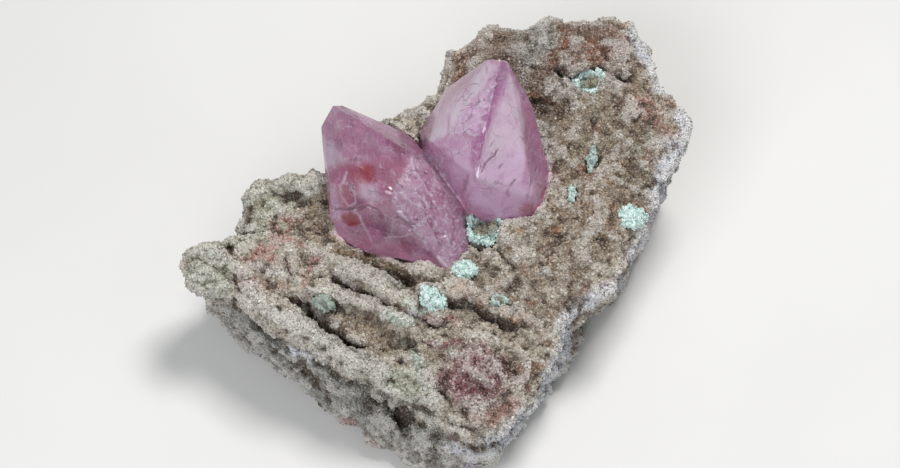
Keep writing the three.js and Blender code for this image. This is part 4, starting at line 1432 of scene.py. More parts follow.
class Hue(Enum):
    """Linear colours of the pink calcite, its veils and its stains, and of the light and shade painted
    on its facets.
    """

    # Pale lilac painted as the highlight on facets that face the light.
    BRIGHT = (1.0, 0.84, 1.0)
    LILAC = (0.92, 0.66, 0.93)
    MAUVE = (0.49, 0.23, 0.37)
    PINK = (0.67, 0.33, 0.49)
    ROSE = (0.48, 0.17, 0.24)
    MAGENTA = (0.54, 0.16, 0.42)
    PLUM = (0.46, 0.17, 0.38)
    DEEP = (0.33, 0.08, 0.18)
    FROST = (0.92, 0.82, 0.96)
    # Near white painted as the gleam of reflected light.
    GLEAM = (1.0, 0.95, 1.0)
    CLOUD = (0.62, 0.46, 0.53)
    RED = (0.34, 0.010, 0.030)
    IRON = (0.46, 0.07, 0.09)
    SMOKE = (0.20, 0.11, 0.15)
    BLACK = (0.02, 0.012, 0.018)
    STONE = (0.52, 0.38, 0.33)


RIGHT_CRYSTAL = (
    # Mauve on the right crystal's left side face, darkened as painted shade of a face turned from the
    # light.
    Mark(Hue.MAUVE, corners=(
        (3.7, 23.4), (1.4, 21.8), (-1.6, 19), (-4.6, 16.2), (-6.6, 13.6), (-7.2, 12), (-5.4, 10.6),
        (-4.5, 11.8), (-2.2, 15), (0, 18), (2, 20.6))),
    Mark(Hue.LILAC, soft=1.0, strength=0.5, corners=(
        (-5.6, 10.6), (-5.2, 14.2), (-3.2, 16), (-1.2, 18.4), (0, 18), (-2.2, 15), (-4.5, 11.8))),
    # Painted highlights on the right crystal: the bright strip and the gleam along its left ridge, a
    # gleam on its front face, and a whitish triangle of reflected light.
    Mark(Hue.BRIGHT, soft=1.4, strength=1.0, rough=0.3, corners=(
        (3.6, 23.3), (5.5, 22.5), (4.4, 21), (3.4, 19), (1.4, 17), (-0.4, 14.4), (-1.8, 12),
        (-4.6, 11), (-4.4, 12), (-2.2, 15), (0, 18), (2, 20.6))),
    Mark(Hue.GLEAM, soft=1.0, strength=0.8, corners=(
        (-5.2, 10.9), (-4.3, 12.2), (-2.2, 15), (0, 18), (2, 20.7), (3.7, 23.0), (4.3, 22.4),
        (2.2, 19), (0.2, 16), (-2.2, 13), (-4.0, 11))),
    Mark(Hue.GLEAM, soft=2.4, strength=0.6, corners=(
        (4.4, 14.6), (6.0, 18), (7.2, 17), (7.4, 12), (6.0, 8.4), (3.4, 8.4), (3.2, 11))),
    Mark(Hue.FROST, soft=0.5, strength=0.7, corners=(
        (-2.2, 14.7), (-2.7, 12.2), (-4.2, 11.8))),
    Mark(Hue.LILAC, soft=0.6, strength=0.9, rough=1.0, corners=(
        (5.5, 22.4), (5.6, 20.4), (4.4, 16), (2.8, 12.4), (0.4, 12.6), (-1.7, 12), (-0.4, 14.4),
        (1.4, 17), (3.4, 19), (4.4, 21))),
    Mark(Hue.LILAC, soft=2.6, strength=0.70, corners=(
        (-5.4, 10.6), (-1.6, 11.8), (2.4, 12), (2, 8), (2, 4.2), (0.6, 3), (0.5, 5.6), (-0.4, 3.2),
        (-1.8, 2.2), (-2.6, 6), (-3, 9), (-4, 9.8))),
    Mark(Hue.PINK, soft=2.0, strength=0.7, corners=(
        (-4.4, 9.6), (-3, 9.2), (-2.4, 6), (-1.9, 3), (-3.4, 4.5), (-5.2, 8))),
    # Painted highlight: the front face of the right crystal, which catches the light.
    Mark(Hue.BRIGHT, soft=0.5, strength=0.85, corners=(
        (5.7, 22.2), (7.2, 21.6), (8.9, 18), (9.5, 12), (9.7, 8), (9.5, 5), (8.2, 4.4), (5, 4),
        (2.8, 4.6), (2, 6.2), (2.3, 8), (3.4, 11.6), (5.4, 17.6))),
    Mark(Hue.LILAC, soft=2.4, strength=0.75, corners=(
        (3.0, 8.5), (9.6, 9.5), (9.4, 5), (5, 4.2), (2.8, 4.8))),
    # Painted light: lilac lifts the lower facet, which faces down and would show darker.
    Mark(Hue.LILAC, soft=1.6, strength=0.8, corners=(
        (2.8, 4.4), (5, 3.8), (8.2, 4.2), (10, 4.8), (11, 1.6), (10, 0.2), (8, -0.8), (5.5, -1.4),
        (3.8, 0), (1.4, 0), (0.6, 2))),
    # Deeper magenta along the right crystal's right side face: its colour, darkened as painted shade of
    # a face turned from the light.
    Mark(Hue.MAGENTA, soft=0.7, strength=0.55, corners=(
        (7.2, 22.6), (9.6, 18.5), (11.4, 14), (12.8, 10.5), (13.4, 7), (13.4, 3), (11.8, 4.2),
        (10.3, 5.4), (9.9, 9), (9.7, 13), (9, 18))),
    Mark(Hue.MAGENTA, soft=0.7, strength=0.8, corners=(
        (6.0, 23.0), (7.9, 22.0), (8.6, 20.2), (7.0, 21.6), (6.2, 21.8))),
    # Painted highlight on a small notch facet.
    Mark(Hue.BRIGHT, soft=0.5, strength=0.7, corners=(
        (1.2, 5.4), (2.2, 4.2), (0.5, 3.0))),
    Mark(Hue.MAGENTA, soft=0.5, strength=0.8, relief=-0.35, corners=(
        (5.6, 21.2), (6.2, 20.4), (5.6, 17.8), (4.5, 14.6), (3.6, 12), (2.7, 9.4), (2.1, 7.6),
        (2.4, 9.6), (3.0, 12.2), (3.9, 15), (4.8, 18))),
    vein(Hue.PLUM, (6.3, 22.2), (5.3, 18.6), (3.7, 14), (2.4, 9.8), (1.9, 7.8), wide=1.35,
         strength=0.8),
    vein(Hue.MAGENTA, (1.6, 10.8), (2.1, 9.0), (2.1, 7.4), (1.8, 5.6), (2.2, 4.4), wide=0.5,
         strength=0.5),
    # A pale line along the right crystal's left ridge, partly wear and partly a painted highlight.
    vein(Hue.FROST, (-5.4, 10.8), (-4.5, 11.9), (-2.2, 15.0), (0, 18), (2, 20.7), (3.7, 23.2),
         wide=0.35),
    vein(Hue.FROST, (2.4, 8), (2.0, 6.2), (2.8, 4.7), (5, 4.1), wide=0.3, strength=0.5),
    vein(Hue.FROST, (-2.0, 12.0), (0.4, 12.8), (1.6, 11.8), (2.4, 12.2), wide=0.28, relief=0.1),
    vein(Hue.FROST, (-1.5, 9.4), (0.0, 9.7), (1.0, 10.3), (2.0, 9.2), wide=0.25, strength=0.5),
    vein(Hue.SMOKE, (0.6, 16.4), (2.4, 16.9), (3.8, 17.8), wide=0.22, strength=0.55, relief=-0.12),
    vein(Hue.FROST, (1.9, 16.3), (3.2, 16.4), (4.0, 16.9), wide=0.26, relief=0.12),
    vein(Hue.SMOKE, (0.8, 15.3), (1.4, 15.0), (0.9, 14.6), wide=0.18, strength=0.45),
    vein(Hue.FROST, (0.9, 14.1), (2.1, 14.6), (3.2, 15.1), wide=0.24, relief=0.1),
    vein(Hue.FROST, (0.8, 13.2), (2.3, 13.8), (3.3, 13.9), wide=0.2, relief=0.1),
    vein(Hue.MAGENTA, (4.4, 19.4), (5.2, 19.8), (5.6, 20.6), wide=0.3, strength=0.5),
    vein(Hue.FROST, (3.8, 18.8), (4.6, 19.4), (5.2, 19.6), wide=0.28, relief=0.12),
    vein(Hue.MAGENTA, (3.9, 20.4), (4.8, 21.2), (5.6, 21.6), wide=0.32, strength=0.6, relief=-0.1),
    vein(Hue.PINK, (-2.2, 15.0), (-2.3, 12.8), (-2.8, 11.0), wide=0.25, strength=0.6),
    vein(Hue.SMOKE, (5.4, 9.7), (4.6, 8.7), (3.8, 7.6), (3.2, 6.9), (2.9, 6.1), relief=-0.15),
    vein(Hue.SMOKE, (6.0, 7.4), (5.7, 6.9), wide=0.18),
    vein(Hue.SMOKE, (8.1, 4.9), (7.5, 4.2), (7.2, 3.2), (7.1, 2.3), wide=0.24, relief=-0.15),
    vein(Hue.SMOKE, (11.4, 6.6), (10.7, 4.8), (10.2, 3.2), (9.9, 1.9), wide=0.24, relief=-0.15),
    vein(Hue.FROST, (11.1, 6.2), (10.8, 5.4), wide=0.2),
    vein(Hue.MAGENTA, (6.3, 2.0), (6.0, 0.9), wide=0.35, strength=0.7),
    vein(Hue.FROST, (5.8, 8.1), (7.4, 8.0), (8.6, 7.6), wide=0.2, strength=0.4),
    vein(Hue.FROST, (8.0, 15.6), (7.3, 14.6), (7.1, 14.0), wide=0.3, strength=0.5),
    vein(Hue.SMOKE, (0.6, 5.6), (0.4, 4.2), (0.1, 3.2), wide=0.3, strength=0.45),
    vein(Hue.BLACK, (-1.35, 2.95), (-1.2, 2.75), wide=0.26, strength=1.0),
    vein(Hue.SMOKE, (6.35, 19.1), (6.2, 18.2), wide=0.2, strength=0.5),
    vein(Hue.SMOKE, (3.7, 22.3), (3.8, 21.6), wide=0.18, strength=0.5),
    # Painted light: lilac lifts the lower facet, which faces down and would show darker.
    Mark(Hue.LILAC, soft=1.4, strength=0.5, corners=(
        (2.2, 4.8), (9, 3.6), (12.4, 6), (12, 3), (9, 0.6), (5, 0), (1.6, 1.4))),
    Mark(Hue.IRON, soft=0.9, strength=0.75, corners=(
        (12.0, 4.2), (13.2, 4.0), (13.4, 2.2), (12.4, 1.4), (12.0, 2.6))),
    Mark(Hue.IRON, soft=0.9, strength=0.7, corners=(
        (8.4, 0.6), (10.0, 1.3), (11.8, 1.0), (11.4, -0.6), (9.6, -0.8))),
    Mark(Hue.IRON, soft=1.0, strength=0.5, corners=(
        (-0.8, 1.8), (1.0, 0.8), (2.6, 0.6), (2.4, -1), (-0.2, -1))),
)

LEFT_CRYSTAL = (
    Mark(Hue.MAUVE, soft=0.8, strength=0.9, corners=(
        (-22, 13), (-20.2, 16.4), (-19, 16.8), (-13, 14.4), (-9, 12.6), (-7.6, 11.6), (-7.8, 10),
        (-10, 9.8), (-13, 8.4), (-17, 8.2), (-18.8, 9))),
    Mark(Hue.CLOUD, soft=2.0, strength=0.4, corners=(
        (-20.6, 16), (-18.6, 15.4), (-18.4, 12), (-20.2, 12.6))),
    Mark(Hue.MAGENTA, soft=1.8, strength=0.65, corners=(
        (-15.5, 14.2), (-11, 13.4), (-8, 11.6), (-8.4, 8.6), (-11.5, 9), (-12.6, 11.4))),
    Mark(Hue.DEEP, soft=1.8, strength=0.85, corners=(
        (-12, 11.8), (-9, 11.4), (-8, 9), (-9.6, 7.4), (-11.6, 8.4))),
    Mark(Hue.FROST, soft=0.8, strength=0.9, corners=(
        (-22, 12), (-21.4, 11.2), (-20.2, 10.6), (-18.7, 8.8), (-18, 8), (-19, 7.3), (-21, 6.8),
        (-22, 9.6))),
    Mark(Hue.ROSE, soft=1.8, strength=0.65, corners=(
        (-19.4, 7.2), (-18, 8), (-13.4, 8), (-10, 7.8), (-9.4, 5), (-11, 2), (-10, 0), (-14, -0.6),
        (-19.8, 0.2), (-21, 3.4), (-20.8, 5.4))),
    Mark(Hue.PINK, soft=0.9, strength=0.5, corners=(
        (-14.4, 4.6), (-10.4, 4.4), (-11.2, 2), (-12.4, 1.6), (-13.6, 3.6))),
    Mark(Hue.FROST, soft=0.6, strength=0.7, corners=(
        (-21, 4.8), (-20.3, 4.4), (-20.2, 1), (-20, -1), (-18.8, -1.2), (-19.2, 0.6), (-19.8, 2.6),
        (-19.9, 4.2))),
    Mark(Hue.PINK, soft=1.0, strength=0.85, corners=(
        (-20.4, -1.2), (-17, -2), (-12, -4.4), (-4, -8.2), (-2, -9), (-8, -8.4), (-14, -6.6),
        (-18, -5))),
    Mark(Hue.DEEP, soft=1.4, strength=0.9, corners=(
        (-17, -0.2), (-10.2, -0.1), (-6.5, -4.2), (-3.2, -7.9), (-6.4, -6.8), (-11, -4.6),
        (-15.6, -2.6))),
    Mark(Hue.ROSE, soft=1.6, strength=0.7, corners=(
        (-14, -2.8), (-10, -3.8), (-6, -6.4), (-9.6, -6.4), (-13.6, -5))),
    Mark(Hue.STONE, soft=1.6, strength=0.55, corners=(
        (-18.2, -2.8), (-15.2, -3.2), (-14.4, -4.8), (-16.8, -5))),
    Mark(Hue.LILAC, soft=0.5, strength=0.8, rough=0.8, corners=(
        (-8, 8.6), (-5, 9.4), (-3, 9), (-2.4, 5.4), (-1, 1), (0.4, -1), (1.2, -5), (0.8, -7.4),
        (-1.9, -9), (-5.2, -5.7), (-10.1, 0.1), (-11.3, 2), (-9.6, 5))),
    Mark(Hue.CLOUD, soft=1.2, strength=0.5, rough=0.6, corners=(
        (-10.4, 5.2), (-8.2, 6.2), (-7.4, 3), (-8.4, 0.6), (-10.2, 1.2), (-11.2, 2.4))),
    Mark(Hue.ROSE, soft=1.2, strength=0.55, corners=(
        (-7.2, 6.6), (-4, 7.6), (-2.6, 5), (-1, 1), (0.2, -1.2), (-2, -1.6), (-5, 0.4))),
    Mark(Hue.PINK, soft=0.8, strength=0.6, corners=(
        (-1.8, -1), (0.3, -1.2), (1.2, -5.2), (0.6, -7), (-0.6, -6.4), (-1.6, -4))),
    Mark(Hue.DEEP, soft=0.7, strength=0.7, corners=(
        (-4.4, 3.8), (-3, 3.4), (-1.2, 1.2), (0.2, -0.6), (-0.8, -0.8), (-2, 0.8))),
    Mark(Hue.DEEP, soft=1.5, strength=0.30, corners=(
        (-22, 13), (-19, 16.8), (-13, 14.4), (-7.6, 11.6), (-3, 9), (0.4, -1), (1.2, -5),
        (-1.9, -9), (-14, -6.6), (-20.4, -1.2), (-22, 6))),
    Mark(Hue.IRON, soft=1.0, strength=0.65, corners=(
        (-17.6, 6.9), (-14.8, 7.4), (-13.5, 6.9), (-13.5, 4.9), (-14.4, 4.6), (-15.4, 5),
        (-17.4, 5.4))),
    Mark(Hue.MAUVE, soft=1.0, strength=0.45, corners=(
        (-8, 8.6), (-5, 9.4), (-3, 9), (-2.4, 5.4), (-1, 1), (0.4, -1), (1.2, -5), (0.8, -7.4),
        (-1.9, -9), (-5.2, -5.7), (-10.1, 0.1), (-11.3, 2), (-9.6, 5))),
    Mark(Hue.SMOKE, soft=1.8, strength=0.6, corners=(
        (-14.4, -0.4), (-11, -1), (-9.4, -4), (-10.6, -5.4), (-12.6, -4))),
    Mark(Hue.SMOKE, soft=1.4, strength=0.3, corners=(
        (-12, 10.8), (-9, 11.2), (-8.2, 9.2), (-10, 8.4))),
    Mark(Hue.RED, soft=0.6, strength=1.0, corners=(
        (-15.6, 7.0), (-13.8, 7.1), (-13.6, 4.9), (-14.8, 4.9), (-16.0, 6.0))),
    Mark(Hue.IRON, soft=0.9, strength=0.45, corners=(
        (-18.4, 6.4), (-16.6, 4.4), (-14.6, 4.3), (-15.6, 5.6))),
    Mark(Hue.RED, soft=0.4, strength=1.0, corners=(
        (-18.8, -0.7), (-17.4, -0.3), (-16.2, -0.9), (-15.9, -2), (-17.8, -2.1), (-18.8, -1.4))),
    Mark(Hue.IRON, soft=0.9, strength=0.55, corners=(
        (-19.4, 3.8), (-18.2, 4.2), (-16.8, 3.6), (-16.8, 1.8), (-18.4, 1.2), (-19.6, 2))),
    Mark(Hue.FROST, soft=1.2, strength=0.75, corners=(
        (-15.8, 4), (-13.6, 4.2), (-12.6, 2.2), (-14.2, 1.2), (-16, 2.4))),
    Mark(Hue.SMOKE, soft=0.9, strength=0.6, corners=(
        (-16.8, 2.1), (-15.4, 2), (-15.6, 1), (-17.4, 0.3), (-17.2, 1.2))),
    vein(Hue.FROST, (-19.1, 4.1), (-18.9, 2.7), (-18.4, 1.6), (-17.6, 1.0), (-16.6, 1.6),
         (-16.7, 3.0), (-17.4, 4.3), (-18.4, 4.4), (-19.1, 4.0), wide=0.22, strength=0.45,
         relief=0.05),
    vein(Hue.FROST, (-18.5, 4.6), (-18.2, 5.6), (-17.9, 6.2), wide=0.25, strength=0.6),
    vein(Hue.BLACK, (-17.7, 4.5), (-17.1, 4.2), (-16.9, 3.8), wide=0.22, strength=0.6),
    vein(Hue.SMOKE, (-20.1, 0.3), (-18.6, 0.2), (-16.8, 0.5), (-14.6, 0.8), (-13.4, 0.2),
         (-12.5, -0.6), wide=0.28, strength=0.75, relief=-0.15),
    vein(Hue.FROST, (-17.0, 0.0), (-16.0, -0.6), (-15.6, -1.8), (-14.8, -3.0), (-13.8, -5.2),
         wide=0.24, strength=0.45),
    vein(Hue.SMOKE, (-13.7, 7.2), (-13.6, 5.8), (-13.9, 4.4), (-13.5, 3.4), wide=0.22,
         strength=0.5),
    vein(Hue.FROST, (-12.7, 7.2), (-12.5, 6.7), wide=0.25, strength=0.5),
    vein(Hue.SMOKE, (-12.2, 5.9), (-12.1, 4.8), wide=0.3, strength=0.35),
    vein(Hue.BLACK, (-17.8, 7.9), (-16.6, 8.2), (-15.8, 8.1), wide=0.16, strength=0.4),
    # A pale line along the left crystal's front ridge, partly wear and partly a painted highlight.
    vein(Hue.FROST, (-10.1, 0.1), (-8.0, -2.2), (-5.3, -5.5), (-3.4, -7.6), (-2.1, -8.8), wide=0.4,
         strength=0.8, relief=0.12),
    vein(Hue.DEEP, (-9.8, -1.2), (-7.6, -3.0), (-5.6, -5.0), (-4.2, -6.8), wide=0.6, strength=0.6,
         relief=-0.15),
    vein(Hue.FROST, (-9.6, -2.0), (-8.2, -2.8), (-7.4, -2.8), wide=0.2, strength=0.5),
    vein(Hue.FROST, (-8.2, -3.6), (-9.4, -3.8), (-12.2, -4.1), wide=0.2, strength=0.35),
    vein(Hue.DEEP, (-6.0, 1.6), (-5.6, 0.6), (-5.2, -1.0), (-4.6, -2.4), (-3.8, -3.4), (-2.8, -3.5),
         wide=0.42, strength=0.85, relief=-0.25),
    vein(Hue.DEEP, (-4.0, -3.6), (-3.2, -5.0), (-2.4, -6.2), (-1.8, -7.4), wide=0.35, strength=0.6,
         relief=-0.15),
    vein(Hue.DEEP, (-1.4, -0.6), (-1.2, -2.4), (-1.4, -4.2), (-1.9, -5.6), wide=0.28, strength=0.55,
         relief=-0.1),
    vein(Hue.FROST, (-7.7, 8.2), (-7.4, 6.4), (-6.8, 5.2), (-5.6, 3.8), (-4.6, 2.6), wide=0.24,
         strength=0.65, relief=0.12),
    vein(Hue.SMOKE, (-7.5, 8.2), (-7.3, 6.2), (-6.6, 5.0), wide=0.18, strength=0.4),
    vein(Hue.FROST, (-7.4, 2.9), (-6.6, 2.2), (-5.6, 1.6), (-5.2, 0.6), wide=0.26, strength=0.65,
         relief=0.12),
    vein(Hue.FROST, (-9.5, 3.0), (-8.6, 2.0), (-7.4, 1.2), (-6.0, 0.5), wide=0.24, strength=0.7,
         relief=0.12),
    vein(Hue.FROST, (-7.4, 3.4), (-6.6, 4.2), (-5.8, 5.0), wide=0.2, strength=0.5),
    vein(Hue.FROST, (-4.6, 5.3), (-3.4, 4.2), (-2.0, 2.4), wide=0.24, strength=0.55),
    vein(Hue.DEEP, (-5.6, 4.4), (-5.0, 3.0), (-4.6, 1.6), (-4.8, 0.4), wide=0.3, strength=0.5,
         relief=-0.15),
    vein(Hue.DEEP, (-8.4, -0.4), (-7.0, -2.0), (-6.8, -0.6), (-6.2, 0.4), wide=0.2, strength=0.45),
    vein(Hue.SMOKE, (-9.0, -0.2), (-8.4, -1.2), (-7.2, -2.4), wide=0.18, strength=0.4),
    vein(Hue.FROST, (-6.8, -3.4), (-6.0, -3.9), (-5.0, -3.8), wide=0.2, strength=0.5),
    vein(Hue.FROST, (-3.4, -3.2), (-2.6, -3.2), (-2.2, -4.6), (-1.8, -5.6), wide=0.2, strength=0.5,
         relief=0.1),
    vein(Hue.FROST, (-3.9, -1.0), (-2.8, -1.2), (-1.8, -1.2), wide=0.2, strength=0.35),
    vein(Hue.BLACK, (-6.1, 6.3), (-5.6, 6.0), wide=0.2, strength=0.9),
    vein(Hue.SMOKE, (-7.0, 6.6), (-6.6, 6.2), wide=0.18, strength=0.6),
    vein(Hue.BLACK, (-11.9, 12.4), (-11.6, 12.4), wide=0.16, strength=0.6),
    Mark(Hue.IRON, soft=0.7, strength=0.5, corners=(
        (-15.9, -4.4), (-15.2, -4.6), (-15.2, -5.6), (-15.9, -5.4))),
    Mark(Hue.FROST, soft=0.5, strength=0.35, corners=(
        (-19.2, 16.4), (-16, 15.3), (-13.2, 14.2), (-13.4, 13.8), (-16.2, 14.7), (-19.4, 15.8))),
)


@dataclass(frozen=True)
class CalciteFinish:
    """Milky pink calcite that light passes through, with shaded facets and fine growth lines."""

    absorb: Colour = (0.93, 0.62, 0.90)
    density: float = 26.0
    ior: float = 1.6
    clear: float = 0.54
    coat: float = 0.4
    coat_roughness: float = 0.06
    streak_turn: float = 0.35
    streak_size: float = 0.35 * MM

    def material(self) -> bpy.types.Material:
        """Makes the crystals' material.

        Returns:
            The material.
        """
        material, bench, shader, place = new_material("pink_calcite")
        # The colours are read before the other attributes, or beside a volume they turn black.
        colour = bench.attribute("tinge").outputs["Color"]
        broken = bench.attribute("broken").outputs["Fac"]
        edge = bench.attribute("edge").outputs["Fac"]
        stain = bench.attribute("stain").outputs["Fac"]
        veils = bench.band(bench.noise(place, 4.0 * MM, 5.0, 0.6), 0.42, 0.70, 0.0, 0.28)
        colour = bench.mix(veils, colour, Hue.FROST.value)
        depths = bench.band(bench.noise(place, 2.2 * MM, 4.0, 0.6), 0.50, 0.72, 0.0, 0.35)
        colour = bench.mix(depths, colour, Hue.MAGENTA.value)
        flakes = bench.band(bench.noise(place, 0.6 * MM, 5.0, 0.7), 0.50, 0.64)
        colour = bench.mix(bench.math("MULTIPLY", flakes, broken), colour, Hue.FROST.value)
        # Paler on the convex edges: partly wear, partly a painted highlight along them.
        worn = bench.band(edge, 0.012, 0.06, 0.0, 0.30)
        colour = bench.mix(worn, colour, Hue.FROST.value)
        grown = bench.add("ShaderNodeMapping", Vector=place, Scale=(1.0, 0.12, 1.0))
        turn = (math.radians(-LEAN_DEG), 0.0, self.streak_turn)
        grown.inputs["Rotation"].default_value = turn
        streak = bench.noise(grown.outputs[0], self.streak_size, 4.0, 0.7)
        colour = bench.mix(bench.band(streak, 0.50, 0.68, 0.0, 0.24), colour, Hue.FROST.value)
        colour = bench.mix(bench.band(streak, 0.34, 0.47, 0.20, 0.0), colour, Hue.MAGENTA.value)
        often = bench.math("ADD", bench.math("MULTIPLY", broken, 0.6), 0.50)
        dark = bench.math("MULTIPLY", self._cracks(bench, place, 2.2 * MM, 0.050), often)
        colour = bench.mix(dark, colour, Hue.SMOKE.value)
        pale = bench.math("MULTIPLY", self._cracks(bench, place, 1.4 * MM, 0.060), often)
        colour = bench.mix(pale, colour, Hue.FROST.value)
        colour = bench.mix(bench.math("MULTIPLY", stain, 0.6), colour, Hue.RED.value)
        bench.feed(shader.inputs["Base Color"], colour)
        gloss = bench.band(bench.noise(place, 1.5 * MM, 4.0), 0.35, 0.7, 0.06, 0.20)
        dulled = bench.math("MULTIPLY", broken, 0.15)
        bench.feed(shader.inputs["Roughness"], bench.math("ADD", gloss, dulled))
        shader.inputs["IOR"].default_value = self.ior
        shader.inputs["Transmission Weight"].default_value = self.clear
        shader.inputs["Coat Weight"].default_value = self.coat
        shader.inputs["Coat Roughness"].default_value = self.coat_roughness
        bump = bench.add("ShaderNodeBump", Height=streak, Strength=0.35, Distance=0.06 * MM)
        bench.feed(shader.inputs["Normal"], bump.outputs["Normal"])
        volume = bench.tree.nodes.new("ShaderNodeVolumeAbsorption")
        volume.inputs["Color"].default_value = (*self.absorb, 1.0)
        volume.inputs["Density"].default_value = self.density
        bench.feed(bench.tree.nodes["Material Output"].inputs["Volume"], volume.outputs[0])
        return material

    def _cracks(
        self, bench: Bench, place: bpy.types.NodeSocket, size: float, width: float,
    ) -> bpy.types.NodeSocket:
        """Thin wandering cleavage lines that come and go.

        Args:
            bench: the material's bench.
            place: the Object coordinates.
            size: how far apart the lines are, in metres.
            width: how wide they are, as a share of that.

        Returns:
            1 on a line and 0 beside it.
        """
        bent = bench.tree.nodes.new("ShaderNodeVectorMath")
        bent.operation = "MULTIPLY_ADD"
        sway = bench.add("ShaderNodeTexNoise", Vector=place, Scale=0.8 / size, Detail=3.0)
        bench.feed(bent.inputs[0], sway.outputs["Color"])
        bench.feed(bent.inputs[1], (1.6 * size, 0.9 * size, 1.6 * size))
        bench.feed(bent.inputs[2], place)
        cells = bench.add("ShaderNodeTexVoronoi", Vector=bent.outputs[0], Scale=1.0 / size)
        cells.feature = "DISTANCE_TO_EDGE"
        line = bench.band(cells.outputs["Distance"], 0.0, width, 1.0, 0.0)
        here = bench.band(bench.noise(place, 1.5 * size), 0.46, 0.62)
        return bench.math("MULTIPLY", line, here)


@dataclass
class CrystalPair:
    """The two intergrown crystals, with worn edges, broken facets, veins and stains."""

    node: bpy.types.Object
    finish: CalciteFinish
    voxel: float = 0.21 * MM
    flake_rise: float = 0.30 * MM
    wave_rise: float = 0.10 * MM
    marks: tuple[Mark, ...] = (*RIGHT_CRYSTAL, *LEFT_CRYSTAL)
    worn: tuple[Mark, ...] = (
        vein(Hue.PINK, (2.1, 4.9), (6, 3.6), (11, 2.2), wide=2.6),
        vein(Hue.PINK, (-17.8, 8.2), (-14, 5.5), (-10.7, 3), wide=2.0),
        vein(Hue.PINK, (-8, 11.6), (-5, 8.8), (-2.4, 5), (-0.4, 0.4), (0.6, -2), wide=1.0),
    )

    def build(self) -> bpy.types.Object:
        """Makes the crystals' piece.

        Returns:
            The finished piece.
        """
        crystals = merged_copy(self.node, "calcite_crystal_pair")
        sharp = copy_of(crystals, "sharp_facets")
        apply_modifier(crystals, "REMESH", mode="VOXEL", voxel_size=self.voxel)
        apply_modifier(crystals, "SHRINKWRAP", target=sharp, wrap_method="NEAREST_SURFACEPOINT")
        bpy.data.objects.remove(sharp)
        self._wear(crystals)
        self._mark(crystals)
        self._break_facets(crystals)
        places = corners_of(crystals)
        outward = np.einsum("ij,ij->i", places - smoothed(crystals, places, 4), normals_of(crystals))
        store(crystals, "edge", outward / MM)
        crystals.data.shade_smooth()
        dress(crystals, self.finish.material())
        put_on(crystals, Slot.CALCITE, self.node.name)
        return crystals

    def _wear(self, crystals: bpy.types.Object) -> None:
        """Rounds off the two edges that hardly show on the real crystals."""
        places = corners_of(crystals)
        front, _ = seen_from_front(places)
        share = np.max([share_of(front, mark) for mark in self.worn], axis=0)[:, None]
        move_corners(crystals, places * (1.0 - share) + smoothed(crystals, places, 60) * share)

    def _mark(self, crystals: bpy.types.Object) -> None:
        """Stores the shade of each facet, vein and spot, and raises or sinks the lines."""
        places = corners_of(crystals)
        normals = normals_of(crystals)
        front, sight = seen_from_front(places)
        front = front + wander(places, *FACET_WANDER)
        facing = np.clip(normals @ sight * 4.0, 0.0, 1.0)
        paint(crystals, self.marks, Hue.PINK.value, front, filled=True)
        rough = [mark for mark in self.marks if mark.rough]
        raised = [mark for mark in self.marks if mark.relief]
        red = [mark for mark in self.marks if mark.tint is Hue.RED]
        broken = np.max([share_of(front, mark) * mark.rough for mark in rough], axis=0) * facing
        relief = sum(share_of(front, mark) * mark.relief for mark in raised) * facing
        stain = np.max([share_of(front, mark) * mark.strength for mark in red], axis=0)
        store(crystals, "broken", broken)
        store(crystals, "stain", stain)
        weigh(crystals, "flaky", broken)
        move_corners(crystals, places + normals * (relief * MM)[:, None])

    def _break_facets(self, crystals: bpy.types.Object) -> None:
        """Raises flakes on the broken facets and faint waves everywhere."""
        flakes = cloud("CLOUDS", "flakes", 1.3 * MM, noise_depth=3, noise_basis="VORONOI_F2_F1")
        waves = cloud("CLOUDS", "growth_waves", 2.6 * MM, noise_depth=2)
        apply_modifier(
            crystals, "DISPLACE", texture=flakes, strength=self.flake_rise, mid_level=0.5,
            texture_coords="LOCAL", vertex_group="flaky",
        )
        apply_modifier(
            crystals, "DISPLACE", texture=waves, strength=self.wave_rise, mid_level=0.5,
            texture_coords="LOCAL",
        )


@dataclass(frozen=True)
class CrustFinish:
    """Chalky blue-green crust, whiter on its crowns, with painted grey-green shade in its hollows."""

    pale: Colour = (0.72, 0.84, 0.81)
    teal: Colour = (0.38, 0.56, 0.53)
    shade: Colour = (0.10, 0.14, 0.12)
    core: Colour = (0.27, 0.26, 0.20)
    dull: Colour = (0.20, 0.25, 0.20)
    roughness: float = 0.72

    def material(self) -> bpy.types.Material:
        """Makes the crusts' material.

        Returns:
            The material.
        """
        material, bench, shader, place = new_material("green_crust")
        hollow, core, dull = (
            bench.attribute(name).outputs["Fac"] for name in ("hollow", "core", "dull")
        )
        crowns = bench.band(bench.noise(place, 0.7 * MM, 5.0, 0.7), 0.38, 0.60)
        colour = bench.mix(crowns, self.teal, self.pale)
        grey = bench.mix(bench.band(bench.noise(place, 0.5 * MM, 4.0), 0.35, 0.7), self.dull, self.core)
        colour = bench.mix(dull, colour, grey)
        colour = bench.mix(core, colour, self.core)
        colour = bench.mix(bench.band(hollow, 0.02, 0.22, 0.0, 0.8), colour, self.shade)
        bench.feed(shader.inputs["Base Color"], colour)
        shader.inputs["Roughness"].default_value = self.roughness
        grit = bench.noise(place, 0.3 * MM, 3.0)
        bump = bench.add("ShaderNodeBump", Height=grit, Strength=0.5, Distance=0.12 * MM)
        bench.feed(shader.inputs["Normal"], bump.outputs["Normal"])
        return material


@dataclass(frozen=True)
class CrustHabit:
    """What sets one crust apart.

    Heart is the reach of the grey lump in its middle, dull is how grey it is all over, slim is how
    wide it is beside its solid, and lift is how far it creeps up the crystal behind it, in metres.
    """

    heart: float = 0.0
    dull: float = 0.0
    slim: float = 1.0
    lift: float = 0.0


